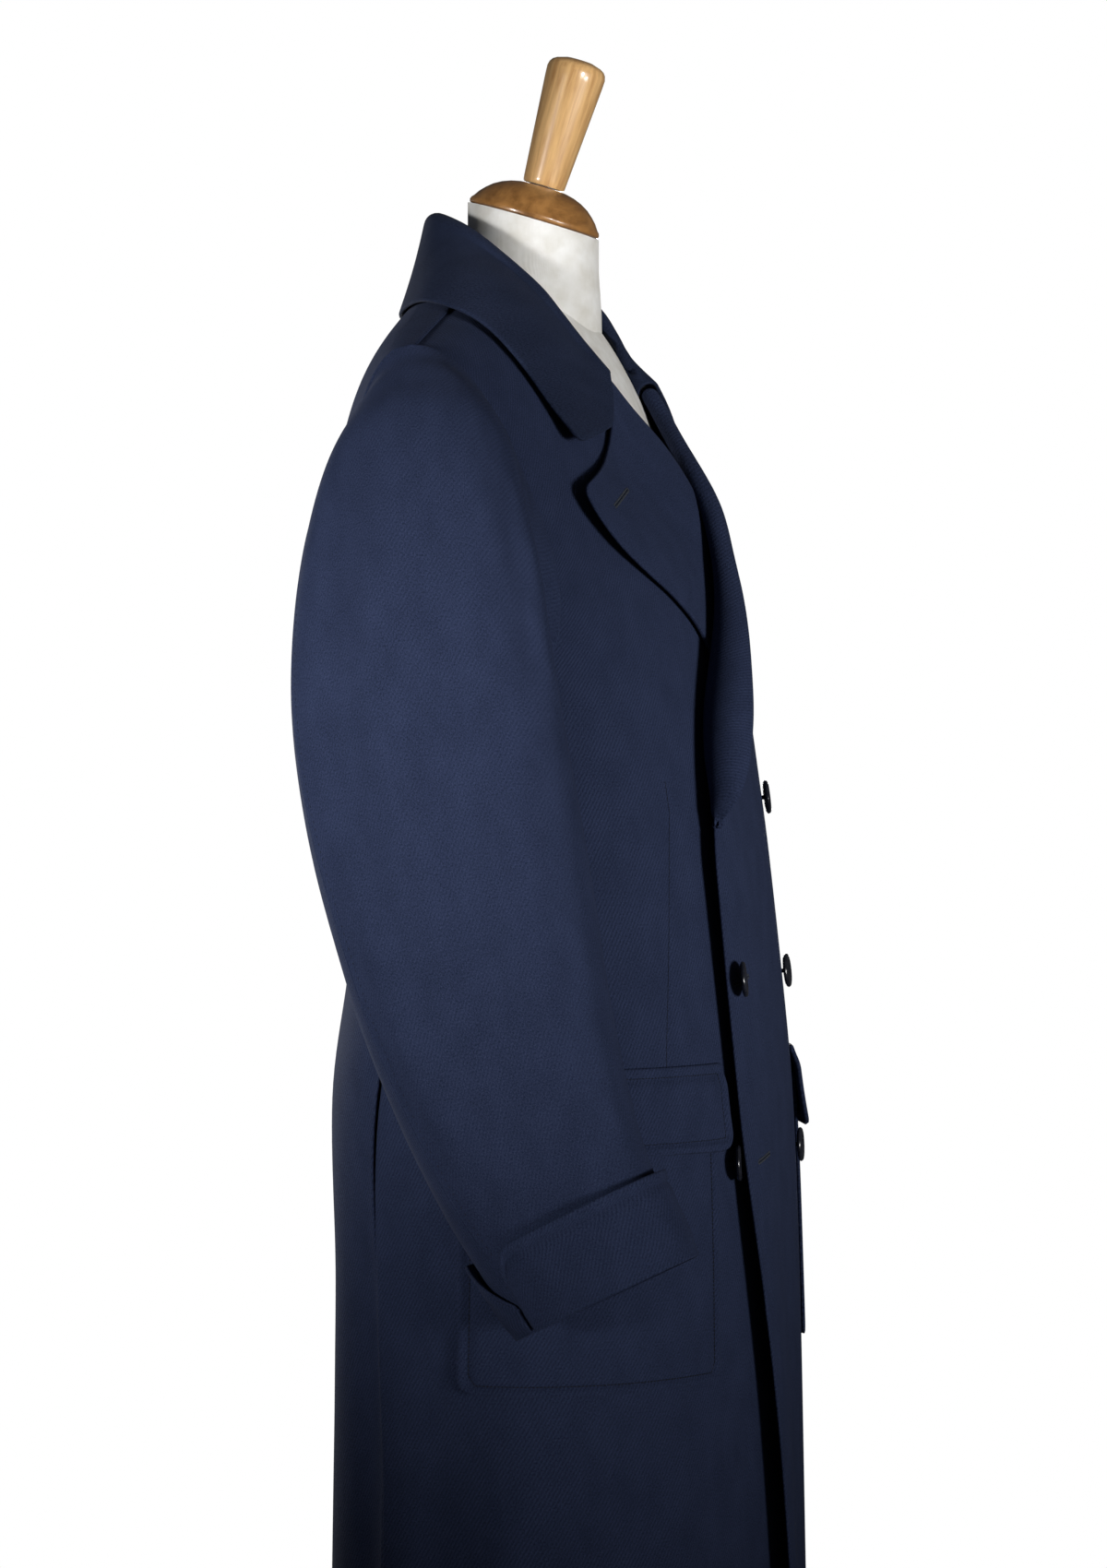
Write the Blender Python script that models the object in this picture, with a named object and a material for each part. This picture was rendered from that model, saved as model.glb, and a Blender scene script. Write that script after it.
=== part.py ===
"""A double-breasted wool overcoat standing on a limbless dress form.

Metres, +Z up. The origin is on the floor under the middle of the form's foot. The coat faces -Y, and the
wearer's left is +X. A "level" is a height measured on the centre line; away from it the shoulders drop.
An "angle" goes round the body in degrees: 0 is centre front, 90 the side and 180 centre back.
"""
import math

import bmesh
import bpy
from mathutils import Matrix, Vector

# ---- cloth and sewing
CLOTH = 0.0025            # wall of one piece of the heavy wool twill
SEAM = 0.0003             # gap left between two pieces along a seam
LEFT = 1
RIGHT = -1

# ---- the body of the coat, level by level
TOP = 1.510               # level of the shoulder line
UNDERARM = 1.195          # level of the lowest point of the armhole
HEM = 0.350
BREAK = 1.095             # level where the lapels start to turn back
SHOULDER_SLOPE = 0.44     # how far the shoulder line drops for each metre away from the neck
BACK_SQUARENESS = 2.3     # 2 would make each level an ellipse, more makes it squarer
BODY_ROWS = [             # level, half_width, front, back, side_line, front_squareness
    (0.350, 0.262, 0.163, 0.143, 0.000, 2.30),
    (0.600, 0.244, 0.160, 0.143, 0.000, 2.30),
    (0.780, 0.232, 0.157, 0.145, 0.000, 2.30),
    (0.910, 0.224, 0.152, 0.153, 0.002, 2.30),
    (1.010, 0.212, 0.143, 0.138, 0.006, 2.30),
    (1.090, 0.208, 0.134, 0.136, 0.010, 2.30),
    (1.200, 0.213, 0.120, 0.145, 0.022, 2.35),
    (1.280, 0.217, 0.115, 0.150, 0.034, 2.50),
    (1.400, 0.228, 0.100, 0.150, 0.043, 2.80),
    (1.510, 0.236, 0.100, 0.150, 0.045, 2.80),
]
# the chest and the shoulder blades round over towards the shoulder line: start level and roundness
CHEST_ROUNDING = (1.140, 1.95)
BLADE_ROUNDING = (1.270, 2.4)

# ---- body panels
PANEL_ROWS = 28
FRONT_COLUMNS = 14
BACK_COLUMNS = 8
UPPER_SHARE = 0.5         # share of a panel's rows that lie above the underarm
NECK_HALF_WIDTH = 0.078
NECK_DEPTH = 0.0525       # from the shoulder line back to the nape
ARMHOLE_ROWS = [          # clock (0 at the shoulder point, 180 at the underarm), front_x, back_x
    (0, 0.213, 0.213),
    (45, 0.198, 0.206),
    (90, 0.189, 0.200),
    (135, 0.194, 0.201),
    (180, 0.2127, 0.2127),
]
SIDE_SEAM_ROWS = [        # level, angle
    (0.350, 112.0),
    (0.640, 112.0),
    (0.860, 116.0),
    (1.050, 106.0),
    (1.195, 90.0),
]
EDGE_ROWS = [             # level, over_x and under_x: reach of the left and right front past the centre
    (0.350, 0.020, 0.080),
    (0.520, 0.036, 0.084),
    (0.670, 0.058, 0.088),
    (0.820, 0.086, 0.092),
    (0.900, 0.095, 0.095),
    (1.095, 0.097, 0.095),
]
OVERLAP_START = 0.125     # x where the left front starts to rise over the right one
OVERLAP_RISE = 0.011      # how far its free edge stands off
UNDERLAP_SINK = 0.0035    # how far the hidden edge of the right front lies in
ROLL_REACH = 0.140
ROLL_RISE_ROWS = [        # level, rise of the left front along its roll line over the right lapel
    (1.095, 0.0110),
    (1.140, 0.0175),
    (1.190, 0.0195),
    (1.250, 0.0175),
    (1.320, 0.0150),
    (1.380, 0.0040),
    (1.430, 0.0000),
]

# ---- lapels
ROLL_TOP_X = NECK_HALF_WIDTH
LAPEL_CLOTH = 0.003
LAPEL_GAP = 0.0022        # air between a lapel and the front it lies on
LAPEL_ROLL_SHARE = 0.22   # share of a lapel's columns that make its roll
LAPEL_ROWS = [            # roll_level, edge_x (on its own side), edge_level, stand_off, roll_radius
    (1.430, 0.151, 1.377, 0.0110, 0.0035),
    (1.395, 0.147, 1.351, 0.0110, 0.0038),
    (1.360, 0.135, 1.321, 0.0090, 0.0042),
    (1.325, 0.113, 1.293, 0.0070, 0.0048),
    (1.290, 0.083, 1.266, 0.0060, 0.0055),
    (1.255, 0.051, 1.238, 0.0055, 0.0060),
    (1.220, 0.022, 1.200, 0.0050, 0.0060),
    (1.180, -0.010, 1.152, 0.0055, 0.0060),
    (1.145, -0.046, 1.121, 0.0060, 0.0060),
    (1.120, -0.073, 1.106, 0.0065, 0.0060),
]
STAND_OFF_SHARE = {LEFT: 0.5, RIGHT: 1.0}  # the left lapel and collar end lie flatter
RIGHT_LAPEL_END = 5.5     # the lower end of the right lapel lies under the left front
RIGHT_ROLL_RADIUS = 0.0035
TUCK_ROWS = [             # lapel row, how far it is rolled there (1 is fully), shift of its inner edge
    (0.0, 1.0, 0.000),
    (2.5, 1.0, 0.000),
    (3.0, 0.0, -0.004),
    (3.5, 0.0, 0.014),
    (4.0, 0.0, 0.028),
    (5.0, 0.0, 0.053),
    (5.5, 0.0, 0.060),
]

# ---- collar: one strip from the neck seam up the stand, over the fold and down the fall
COLLAR_CLOTH = 0.003
COLLAR_FOLD = 0.0055      # outer radius of the fold at its top
COLLAR_STAND_SHARE = 0.26  # shares of its width where the fold starts and ends
COLLAR_FOLD_SHARE = 0.44
# from the centre back to the roll line: seam_x, seam_y, fold_x, fold_y, fold_z, edge_x, edge_y, stand_off
COLLAR_ROWS = [
    (0.000, 0.0975, 0.000, 0.0925, 1.5440, 0.000, 0.1190, 0.0045),
    (0.045, 0.0880, 0.042, 0.0790, 1.5410, 0.064, 0.1045, 0.0045),
    (0.072, 0.0650, 0.068, 0.0500, 1.5230, 0.118, 0.0720, 0.0045),
    (0.078, 0.0450, 0.073, 0.0230, 1.5020, 0.149, 0.0380, 0.0045),
    (0.074, 0.0150, 0.070, -0.0010, 1.4800, 0.154, 0.0120, 0.0050),
    (0.066, -0.0080, 0.063, -0.0140, 1.4620, 0.153, -0.0100, 0.0060),
    (0.056, -0.0250, 0.053, -0.0275, 1.4420, 0.148, -0.0300, 0.0085),
]
NOTCH_X = 0.095           # the collar's end runs along the lapel as far as this
COLLAR_POINT = (0.142, 1.4120)  # x and level of the corner of its fall
COLLAR_POINT_STAND_OFF = 0.0115

# ---- sleeves
SLEEVE_CLEAR = 0.0014     # gap of the sleeve's first ring to the armhole
SLEEVE_TUCK = 0.0010      # how far inside the armhole it starts
SLEEVE_SQUARENESS = 2.2
SLEEVE_SEGMENTS = 18
# rings from the sleeve head down to the cuff: x, y, z, across, across_rise, deep, forward lean in degrees
SLEEVE_ROWS = [
    (0.2265, 0.031, 1.2990, 0.0080, 0.1035, 0.0690, 0),
    (0.2385, 0.029, 1.2850, 0.0185, 0.0950, 0.0750, 0),
    (0.2475, 0.027, 1.2610, 0.0270, 0.0790, 0.0810, 1),
    (0.2540, 0.025, 1.2290, 0.0325, 0.0600, 0.0860, 2),
    (0.2580, 0.022, 1.1900, 0.0360, 0.0410, 0.0900, 4),
    (0.2605, 0.015, 1.1460, 0.0385, 0.0260, 0.0920, 7),
    (0.2625, 0.004, 1.0920, 0.0395, 0.0150, 0.0915, 10),
    (0.2645, -0.010, 1.0350, 0.0400, 0.0070, 0.0880, 13),
    (0.2665, -0.024, 0.9820, 0.0400, 0.0020, 0.0830, 16),
    (0.2690, -0.044, 0.9240, 0.0395, 0.0000, 0.0760, 21),
    (0.2715, -0.066, 0.8720, 0.0385, 0.0000, 0.0690, 25),
    (0.2735, -0.088, 0.8320, 0.0375, 0.0000, 0.0640, 27),
    (0.2745, -0.110, 0.7960, 0.0370, 0.0000, 0.0620, 26),
]
SWING = {RIGHT: 1.0, LEFT: 0.22}  # how much of the forward bend each sleeve has
SWING_BACK = {RIGHT: 0.0, LEFT: 0.005}
SWING_OUT = {RIGHT: 0.0, LEFT: 0.016}
ARM_SEAM_ROWS = [         # share of the sleeve's length, clocks of its back and front seam
    (0.00, -76.0, 112.0),
    (0.45, -70.0, 112.0),
    (0.60, -61.0, 112.0),
    (0.85, -47.0, 112.0),
    (1.00, -40.0, 112.0),
]

# ---- turned-back cuffs
CUFF_START = 0.895        # share of the sleeve's length where the cuff's upper edge lies
CUFF_STAND_OFF = 0.0052
CUFF_FLARE = 0.0025
CUFF_DROP = 0.0015        # how far its folded edge hangs past the sleeve's end
CUFF_HEM_GAP = 0.0006     # its folded edge closes in on the sleeve's end
CUFF_NOTCH = 0.70         # depth of the notch at the back seam, as a share of the cuff
CUFF_NOTCH_TOP = 17.0     # its width on the top sleeve, rounded, and on the under sleeve, straight
CUFF_NOTCH_UNDER = 44.0
CUFF_CROWDING = 0.05      # its columns stand closer together towards the notch

# ---- patch pockets and their flaps
POCKET_FRONT_ANGLE = 27.0
POCKET_BACK_ANGLE = 91.5
POCKET_TOP = 0.918
POCKET_BOTTOM = 0.7215
POCKET_CORNER = 0.012
POCKET_STAND_OFF = 0.0034
POCKET_SLACK = 0.0010     # it bellies out by this much in its middle
FLAP_FRONT_ANGLE = 24.0
FLAP_BACK_ANGLE = 93.0
FLAP_TOP = 0.938
FLAP_BOTTOM = 0.879
FLAP_CLOTH = 0.003
FLAP_SEAM_OFF = 0.0033     # along its seam, above the pocket
FLAP_STAND_OFF = 0.0072
FLAP_FLARE = 0.0045       # how far its lower front corner stands away
FLAP_CORNER = 0.012

# ---- buttons
BUTTON_RADIUS = 0.0125
BUTTON_THICK = 0.0042
BUTTON_DISH = 0.0015
BUTTON_SHANK = 0.0005     # gap under a button on its thread
BUTTON_COLUMN_X = 0.088
LOW_BUTTON_X = 0.093      # the unfastened one, on the right front beside the left front's edge
BUTTON_LEVELS = {"top": 1.120, "middle": 0.993, "low": 0.866}

# ---- dress form and stand
FORM_EASE = 0.0016        # gap between the coat and the form on the shoulders
FORM_LOW_EASE = 0.022     # the coat hangs this far off the form below the chest
FORM_SHOULDER_LEVEL = 1.400
FORM_SHOULDER_SHARE = 0.38
FORM_HALF_SHOULDER = 0.186
FORM_BOTTOM = 0.800
FORM_SIDES = 32
FORM_RINGS = 18
NECK_CENTRE_Y = 0.0265
NECK_RADIUS = 0.0475
NECK_TOP = 1.5375         # where the neck's cut crosses its axis
NECK_TILT = 17.0          # degrees that the cut, the cap and the handle lean forward
CAP_RADIUS = 0.0487
CAP_THICK = 0.0257
HANDLE_HEIGHT = 0.0945
HANDLE_FOOT_RADIUS = 0.0154
HANDLE_TOP_RADIUS = 0.0216
POLE_RADIUS = 0.014
BASE_RADIUS = 0.170
BASE_HEIGHT = 0.030


def row_at(rows, where):
    """Read a table at any value of its first column, along a smooth curve through its rows."""
    where = min(rows[-1][0], max(rows[0][0], where))
    k = 0
    while k < len(rows) - 2 and where > rows[k + 1][0]:
        k += 1
    before = rows[max(0, k - 1)]
    here = rows[k]
    there = rows[k + 1]
    after = rows[min(len(rows) - 1, k + 2)]
    span = there[0] - here[0]
    t = (where - here[0]) / span
    values = []
    for c in range(1, len(here)):
        slope_here = (there[c] - before[c]) / (there[0] - before[0]) * span
        slope_there = (after[c] - here[c]) / (after[0] - here[0]) * span
        values.append((2 * t ** 3 - 3 * t ** 2 + 1) * here[c] + (t ** 3 - 2 * t ** 2 + t) * slope_here
                      + (3 * t ** 2 - 2 * t ** 3) * there[c] + (t ** 3 - t ** 2) * slope_there)
    return values


def numbered(rows):
    """Give a table's rows their places from 0 to 1 as a first column."""
    return [(k / (len(rows) - 1),) + tuple(row) for k, row in enumerate(rows)]


def mix(a, b, t):
    return a + (b - a) * t


def smooth(t):
    t = min(1.0, max(0.0, t))
    return t * t * (3 - 2 * t)


def power(value, exponent):
    """A signed power, for rounded-square outlines."""
    return math.copysign(abs(value) ** exponent, value)


# ---------------------------------------------------------------- the coat's body surface

def rounding(level, start_and_roundness):
    start, roundness = start_and_roundness
    t = (level - start) / (TOP - start)
    if t <= 0:
        return 1.0
    if t >= 1:
        return 0.0
    return (1 - t ** roundness) ** (1 / roundness)


def shoulder_drop(x, level):
    soft_x = math.sqrt(x * x + 0.0004) - 0.02
    return SHOULDER_SLOPE * soft_x * smooth((level - 1.16) / 0.26)


def body_point(angle, level):
    """A point of the coat's outer surface; negative angles are on the wearer's right."""
    half_width, front, back, side_line, squareness = row_at(BODY_ROWS, level)
    angle = (angle + 180) % 360 - 180
    turn = math.radians(abs(angle))
    if abs(angle) > 90:
        squareness = BACK_SQUARENESS
    x = math.copysign(half_width * math.sin(turn) ** (2 / squareness), angle)
    ahead = power(math.cos(turn), 2 / squareness)
    if ahead >= 0:
        y = side_line - (front + side_line) * rounding(level, CHEST_ROUNDING) * ahead
    else:
        y = side_line - (back - side_line) * rounding(level, BLADE_ROUNDING) * ahead
    return Vector((x, y, level - shoulder_drop(x, level)))


def body_normal(angle, level):
    """The way out of the body surface. On the shoulder line it points up."""
    if level > TOP - 0.0005:
        x = body_point(angle, level).x
        return Vector((SHOULDER_SLOPE * x / math.hypot(x, 0.02), 0, 1)).normalized()
    step_up = min(TOP, level + 0.001)
    along = body_point(angle + 0.5, level) - body_point(angle - 0.5, level)
    up = body_point(angle, step_up) - body_point(angle, level - 0.001)
    return along.cross(up).normalized()


def angle_of(x, level, behind=False):
    """The angle where the body surface is x from the centre plane."""
    half_width, _, _, _, squareness = row_at(BODY_ROWS, level)
    if behind:
        squareness = BACK_SQUARENESS
    turn = math.degrees(math.asin(min(1.0, abs(x) / half_width) ** (squareness / 2)))
    return math.copysign(180 - turn if behind else turn, x)


def level_under(x, y):
    """The level of the point of the body surface right under or over a place on the shoulders."""
    level = TOP - 0.02
    for _ in range(6):
        half_width, front, back, side_line, squareness = row_at(BODY_ROWS, level)
        if y > side_line:
            squareness = BACK_SQUARENESS
        across = (1 - min(0.999, abs(x) / half_width) ** squareness) ** (1 / squareness)
        if y <= side_line:
            reach = (side_line - y) / ((front + side_line) * across)
            start, roundness = CHEST_ROUNDING
        else:
            reach = (y - side_line) / ((back - side_line) * across)
            start, roundness = BLADE_ROUNDING
        level = start + (TOP - start) * (1 - min(1.0, reach) ** roundness) ** (1 / roundness)
    return level


def roll_x(level):
    """The roll line of a lapel: a straight line from the break up to the neck, past the centre below."""
    return mix(-row_at(EDGE_ROWS, BREAK)[0], ROLL_TOP_X, (level - BREAK) / (TOP - BREAK))


def front_rise(side, x, level):
    """How far a front lies off the body surface where the fronts overlap; x grows to its own side."""
    if side == RIGHT:
        return -UNDERLAP_SINK * smooth((-0.015 - x) / 0.06)
    reach = OVERLAP_START + row_at(EDGE_ROWS, BREAK)[0]
    rise = OVERLAP_RISE * smooth((OVERLAP_START - x) / reach)
    if level > BREAK:
        past_roll = (x - roll_x(level)) / ROLL_REACH
        roll_rise = row_at(ROLL_RISE_ROWS, level)[0] * (1 - smooth(past_roll))
        rise = mix(rise, roll_rise, smooth((level - BREAK) / 0.06))
    return rise


def front_place(side, x, level, out=0.0):
    """A point on or off a front, with x growing to its own side, and the way out of it."""
    angle = side * angle_of(x, level)
    normal = body_normal(angle, level)
    return body_point(angle, level) + normal * (front_rise(side, x, level) + out), normal


# ---------------------------------------------------------------- from surfaces to cloth walls

def finish(name, bm, material, smooth_angle=40):
    mesh = bpy.data.meshes.new(name)
    bm.to_mesh(mesh)
    bm.free()
    piece = bpy.data.objects.new(name, mesh)
    bpy.context.scene.collection.objects.link(piece)
    mesh.materials.append(material)
    mesh.shade_smooth()
    mesh.set_sharp_from_angle(angle=math.radians(smooth_angle))
    return piece


def face_outwards(bm):
    """Make a closed shell's faces agree and point out of it."""
    bmesh.ops.recalc_face_normals(bm, faces=list(bm.faces))
    if bm.calc_volume(signed=True) < 0:
        bmesh.ops.reverse_faces(bm, faces=list(bm.faces))


def cloth_wall(name, columns, rows, lay, thickness, material):
    """One cut piece: a grid laid by lay(u, v), which gives the outer point and the way out there."""
    bm = bmesh.new()
    bmesh.ops.create_grid(bm, x_segments=columns, y_segments=rows, size=0.5)
    across = bm.verts.layers.float.new("across")
    along = bm.verts.layers.float.new("along")
    for vert in bm.verts:
        vert[across] = vert.co.x + 0.5
        vert[along] = vert.co.y + 0.5
    inner = list(bm.verts)
    made = bmesh.ops.extrude_face_region(bm, geom=list(bm.faces), use_keep_orig=True)
    outer = [item for item in made["geom"] if isinstance(item, bmesh.types.BMVert)]
    for vert in inner:
        point, normal = lay(vert[across], vert[along])
        vert.co = point - normal * thickness
    for vert in outer:
        point, normal = lay(vert[across], vert[along])
        vert.co = point
    face_outwards(bm)
    return finish(name, bm, material)


def with_normal(surface, outward_hint):
    """Turn a point function into one that also gives the way out, worked out from its neighbours."""
    step = 0.004

    def lay(u, v):
        u_low, u_high = max(0.0, u - step), min(1.0, u + step)
        v_low, v_high = max(0.0, v - step), min(1.0, v + step)
        across = surface(u_high, v) - surface(u_low, v)
        along = surface(u, v_high) - surface(u, v_low)
        return surface(u, v), across.cross(along).normalized() * outward_hint
    return lay


# ---------------------------------------------------------------- fronts and backs

def panel_level(v):
    """Level and armhole clock of a row of a body panel, from the shoulder (0) to the hem (1)."""
    if v < UPPER_SHARE:
        clock = 180 * v / UPPER_SHARE
        middle = (TOP + UNDERARM) / 2
        return middle + (TOP - middle) * math.cos(math.radians(clock)), clock
    return mix(UNDERARM, HEM, (v - UPPER_SHARE) / (1 - UPPER_SHARE)), 180


def side_seam(level, away):
    """The side seam's angle, half a seam's gap to one side of it."""
    return row_at(SIDE_SEAM_ROWS, level)[0] + away * math.degrees(0.5 * SEAM / 0.2)


def lay_front(side):
    over = 0 if side == LEFT else 1

    def lay(u, v):
        level, clock = panel_level(v)
        if level > BREAK:
            edge_x = roll_x(level)
        else:
            edge_x = -row_at(EDGE_ROWS, level)[over]
        if clock < 180:
            end = angle_of(row_at(ARMHOLE_ROWS, clock)[0], level)
        else:
            end = side_seam(level, -1)
        angle = side * mix(angle_of(edge_x, level), end, u)
        point = body_point(angle, level)
        normal = body_normal(angle, level)
        if level > TOP - 0.0005:
            point = point + Vector((0, -SEAM / 2, 0))
        rise = front_rise(side, side * point.x, level) if abs(angle) < 90 else 0.0
        return point + normal * rise, normal
    return lay


def lay_back(side):
    def lay(u, v):
        level, clock = panel_level(v)
        if clock < 180:
            start = angle_of(row_at(ARMHOLE_ROWS, clock)[1], level, behind=True)
        else:
            start = side_seam(level, 1)
        _, _, back, side_line, _ = row_at(BODY_ROWS, level)
        depth = (back - side_line) * rounding(level, BLADE_ROUNDING)
        if depth < NECK_DEPTH:
            neck_x = NECK_HALF_WIDTH * math.sqrt(1 - (depth / NECK_DEPTH) ** 2)
            end = angle_of(max(neck_x, SEAM / 2), level, behind=True)
        else:
            end = angle_of(SEAM / 2, level, behind=True)
        angle = side * mix(start, end, u)
        point = body_point(angle, level)
        if level > TOP - 0.0005:
            point = point + Vector((0, SEAM / 2, 0))
        return point, body_normal(angle, level)
    return lay


# ---------------------------------------------------------------- lapels

def lapel_row(side, v):
    """One row of a lapel: its roll line's end, its outer edge, its stand-off and how far it is rolled."""
    roll_level, edge_x, edge_level, stand_off, radius = row_at(numbered(LAPEL_ROWS), v)
    stand_off = max(LAPEL_CLOTH + LAPEL_GAP, stand_off * STAND_OFF_SHARE[side])
    rolled, shift = 1.0, 0.0
    if side == RIGHT:
        radius = RIGHT_ROLL_RADIUS
        rolled, shift = row_at(TUCK_ROWS, v * (len(LAPEL_ROWS) - 1))
    return roll_x(roll_level) + shift, roll_level, edge_x, edge_level, stand_off, radius, rolled


def lapel_point(side, u, v):
    """A point of a lapel's face: u from the roll line to the outer edge, v from the gorge down."""
    start_x, start_level, edge_x, edge_level, stand_off, radius, rolled = lapel_row(side, v)
    width = math.hypot(edge_x - start_x, edge_level - start_level)
    outer = radius + LAPEL_CLOTH
    flat_out = LAPEL_CLOTH + LAPEL_GAP
    flat_share = 0.15
    if u < LAPEL_ROLL_SHARE:
        turn = math.pi * (u / LAPEL_ROLL_SHARE - 0.5)
        share = mix(flat_share * u / LAPEL_ROLL_SHARE, -(outer * math.cos(turn) + 2 * SEAM) / width, rolled)
        out = mix(flat_out, outer * (1 + math.sin(turn)) - LAPEL_CLOTH, rolled)
    else:
        over = (u - LAPEL_ROLL_SHARE) / (1 - LAPEL_ROLL_SHARE)
        share = mix(mix(flat_share, 0.0, rolled), 1.0, over)
        crest = mix(flat_out, 2 * outer - LAPEL_CLOTH, rolled)
        out = mix(crest, flat_out, smooth(over / 0.4)) + (stand_off - flat_out) * smooth((over - 0.4) / 0.6)
    x = mix(start_x, edge_x, share)
    level = mix(start_level, edge_level, share)
    return front_place(side, x, level, out)[0]


def lay_lapel(side):
    last = 1.0 if side == LEFT else RIGHT_LAPEL_END / (len(LAPEL_ROWS) - 1)
    return with_normal(lambda u, v: lapel_point(side, u, v * last), -side)


# ---------------------------------------------------------------- collar

def collar_row(k, v):
    """A point of one row of the collar on the wearer's left, from the neck seam to the fall's edge."""
    seam_x, seam_y, fold_x, fold_y, fold_z, edge_x, edge_y, stand_off = COLLAR_ROWS[k]
    seam_level = level_under(seam_x, seam_y)
    seam = body_point(angle_of(seam_x, seam_level, seam_y > 0.045), seam_level)
    seam.z += mix(0.0016, 0.0028, k / (len(COLLAR_ROWS) - 1))
    fold = Vector((fold_x, fold_y, fold_z))
    out = Vector((edge_x - fold_x, edge_y - fold_y, 0)).normalized()
    radius = COLLAR_FOLD
    if v < COLLAR_STAND_SHARE:
        share = v / COLLAR_STAND_SHARE
        return seam.lerp(fold - Vector((0, 0, radius)), share)
    if v < COLLAR_FOLD_SHARE:
        turn = math.pi * (v - COLLAR_STAND_SHARE) / (COLLAR_FOLD_SHARE - COLLAR_STAND_SHARE)
        return fold + out * radius * (1 - math.cos(turn)) + Vector((0, 0, radius * (math.sin(turn) - 1)))
    share = (v - COLLAR_FOLD_SHARE) / (1 - COLLAR_FOLD_SHARE)
    start = fold + out * 2 * radius - Vector((0, 0, radius))
    x, y = mix(start.x, edge_x, share), mix(start.y, edge_y, share)
    edge_level = level_under(edge_x, edge_y)
    edge = body_point(angle_of(edge_x, edge_level, edge_y > 0.045), edge_level)
    edge_z = edge.z + stand_off * 1.3
    swell = mix(-0.006, 0.008, min(1.0, k / 3))
    line = mix(start.z, edge_z, share) + swell * math.sin(math.pi * share)
    return Vector((x, y, line))


def collar_end(side, v):
    """A collar's front end: along the gorge to the notch, then to the collar's point."""
    if v < COLLAR_FOLD_SHARE:
        share = v / COLLAR_FOLD_SHARE * LAPEL_ROLL_SHARE
        return front_lift(lapel_point(side, share, 0.0))
    share = (v - COLLAR_FOLD_SHARE) / (1 - COLLAR_FOLD_SHARE)
    gorge_x, _, tip_x, _, _, _, _ = lapel_row(side, 0.0)
    notch = (NOTCH_X - gorge_x) / (tip_x - gorge_x)
    bend = 0.45
    if share < bend:
        along = mix(LAPEL_ROLL_SHARE, 1.0, share / bend * notch)
        return front_lift(lapel_point(side, along, 0.0))
    along = mix(LAPEL_ROLL_SHARE, 1.0, notch)
    start = front_lift(lapel_point(side, along, 0.0))
    stand_off = COLLAR_POINT_STAND_OFF * mix(STAND_OFF_SHARE[side], 1.0, 0.2)
    corner = front_place(side, COLLAR_POINT[0], COLLAR_POINT[1], stand_off)[0]
    return start.lerp(corner, (share - bend) / (1 - bend))


def front_lift(point):
    """Keep the collar's end a seam's gap above the lapel's upper edge."""
    return point + Vector((0, 0.0004, 0.0016))


def collar_point(u, v):
    """u from the right end (0) through the centre back (0.5) to the left end (1)."""
    away = abs(u - 0.5) * 2
    rows = []
    for k in range(len(COLLAR_ROWS)):
        rows.append((k / len(COLLAR_ROWS),) + tuple(collar_row(k, v)))
    side = LEFT if u > 0.5 else RIGHT
    end = collar_end(side, v)
    rows.append((1.0, abs(end.x), end.y, end.z))
    rows.insert(0, (-rows[1][0], -rows[1][1], rows[1][2], rows[1][3]))
    x, y, z = row_at(rows, away)
    return Vector((side * x, y, z))


# ---------------------------------------------------------------- sleeves and cuffs

def armhole_point(side, clock):
    """A point of the armhole: clock 0 at the shoulder, 90 in front, 180 underarm, 270 behind."""
    clock %= 360
    half_clock = clock if clock <= 180 else 360 - clock
    middle = (TOP + UNDERARM) / 2
    level = middle + (TOP - middle) * math.cos(math.radians(half_clock))
    front_x, back_x = row_at(ARMHOLE_ROWS, half_clock)
    if clock <= 180:
        angle = angle_of(front_x, level)
    else:
        angle = angle_of(back_x, level, behind=True)
    point = body_point(angle, level)
    inwards = (Vector((point.x, 0.030, middle - 0.085)) - point).normalized()
    point += inwards * SLEEVE_TUCK + Vector((SLEEVE_CLEAR, 0, -SLEEVE_CLEAR * SHOULDER_SLOPE))
    point.x *= side
    return point


def sleeve_point(side, clock, v, out=0.0):
    """A point of a sleeve: clock as on the armhole, v from the armhole (0) to the sleeve's end (1)."""
    turn = math.radians(clock)
    over = power(math.cos(turn), 2 / SLEEVE_SQUARENESS)
    ahead = power(math.sin(turn), 2 / SLEEVE_SQUARENESS)
    start = armhole_point(LEFT, clock)
    rows = [(0.0, start.x, start.y, start.z)]
    top_y = SLEEVE_ROWS[0][1]
    for k, (x, y, z, across, rise, deep, lean) in enumerate(SLEEVE_ROWS):
        across_out = across + out
        deep_out = deep + out
        tilt = math.radians(lean * SWING[side])
        settled = smooth(k / 5)
        centre_y = mix(top_y, y, SWING[side]) + SWING_BACK[side] * settled
        rows.append(((k + 1) / len(SLEEVE_ROWS),
                     x + SWING_OUT[side] * smooth((k - 3) / 7) + across_out * over,
                     centre_y - deep_out * ahead * math.cos(tilt),
                     z + rise * over + deep_out * ahead * math.sin(tilt)))
    x, y, z = row_at(rows, v)
    return Vector((side * x, y, z))


def sleeve_row(v):
    """Spread a sleeve's rows: close together over the head, wider down the arm."""
    return v * (0.62 + 0.38 * v)


def lay_sleeve(side, under):
    gap = math.degrees(0.5 * SEAM / 0.05) + 0.1

    def surface(u, v):
        back, front = row_at(ARM_SEAM_ROWS, sleeve_row(v))
        if under:
            clock = mix(front + gap, back + 360 - gap, u)
        else:
            clock = mix(back + gap, front - gap, u)
        return sleeve_point(side, clock, sleeve_row(v))
    return with_normal(surface, side)


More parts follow.
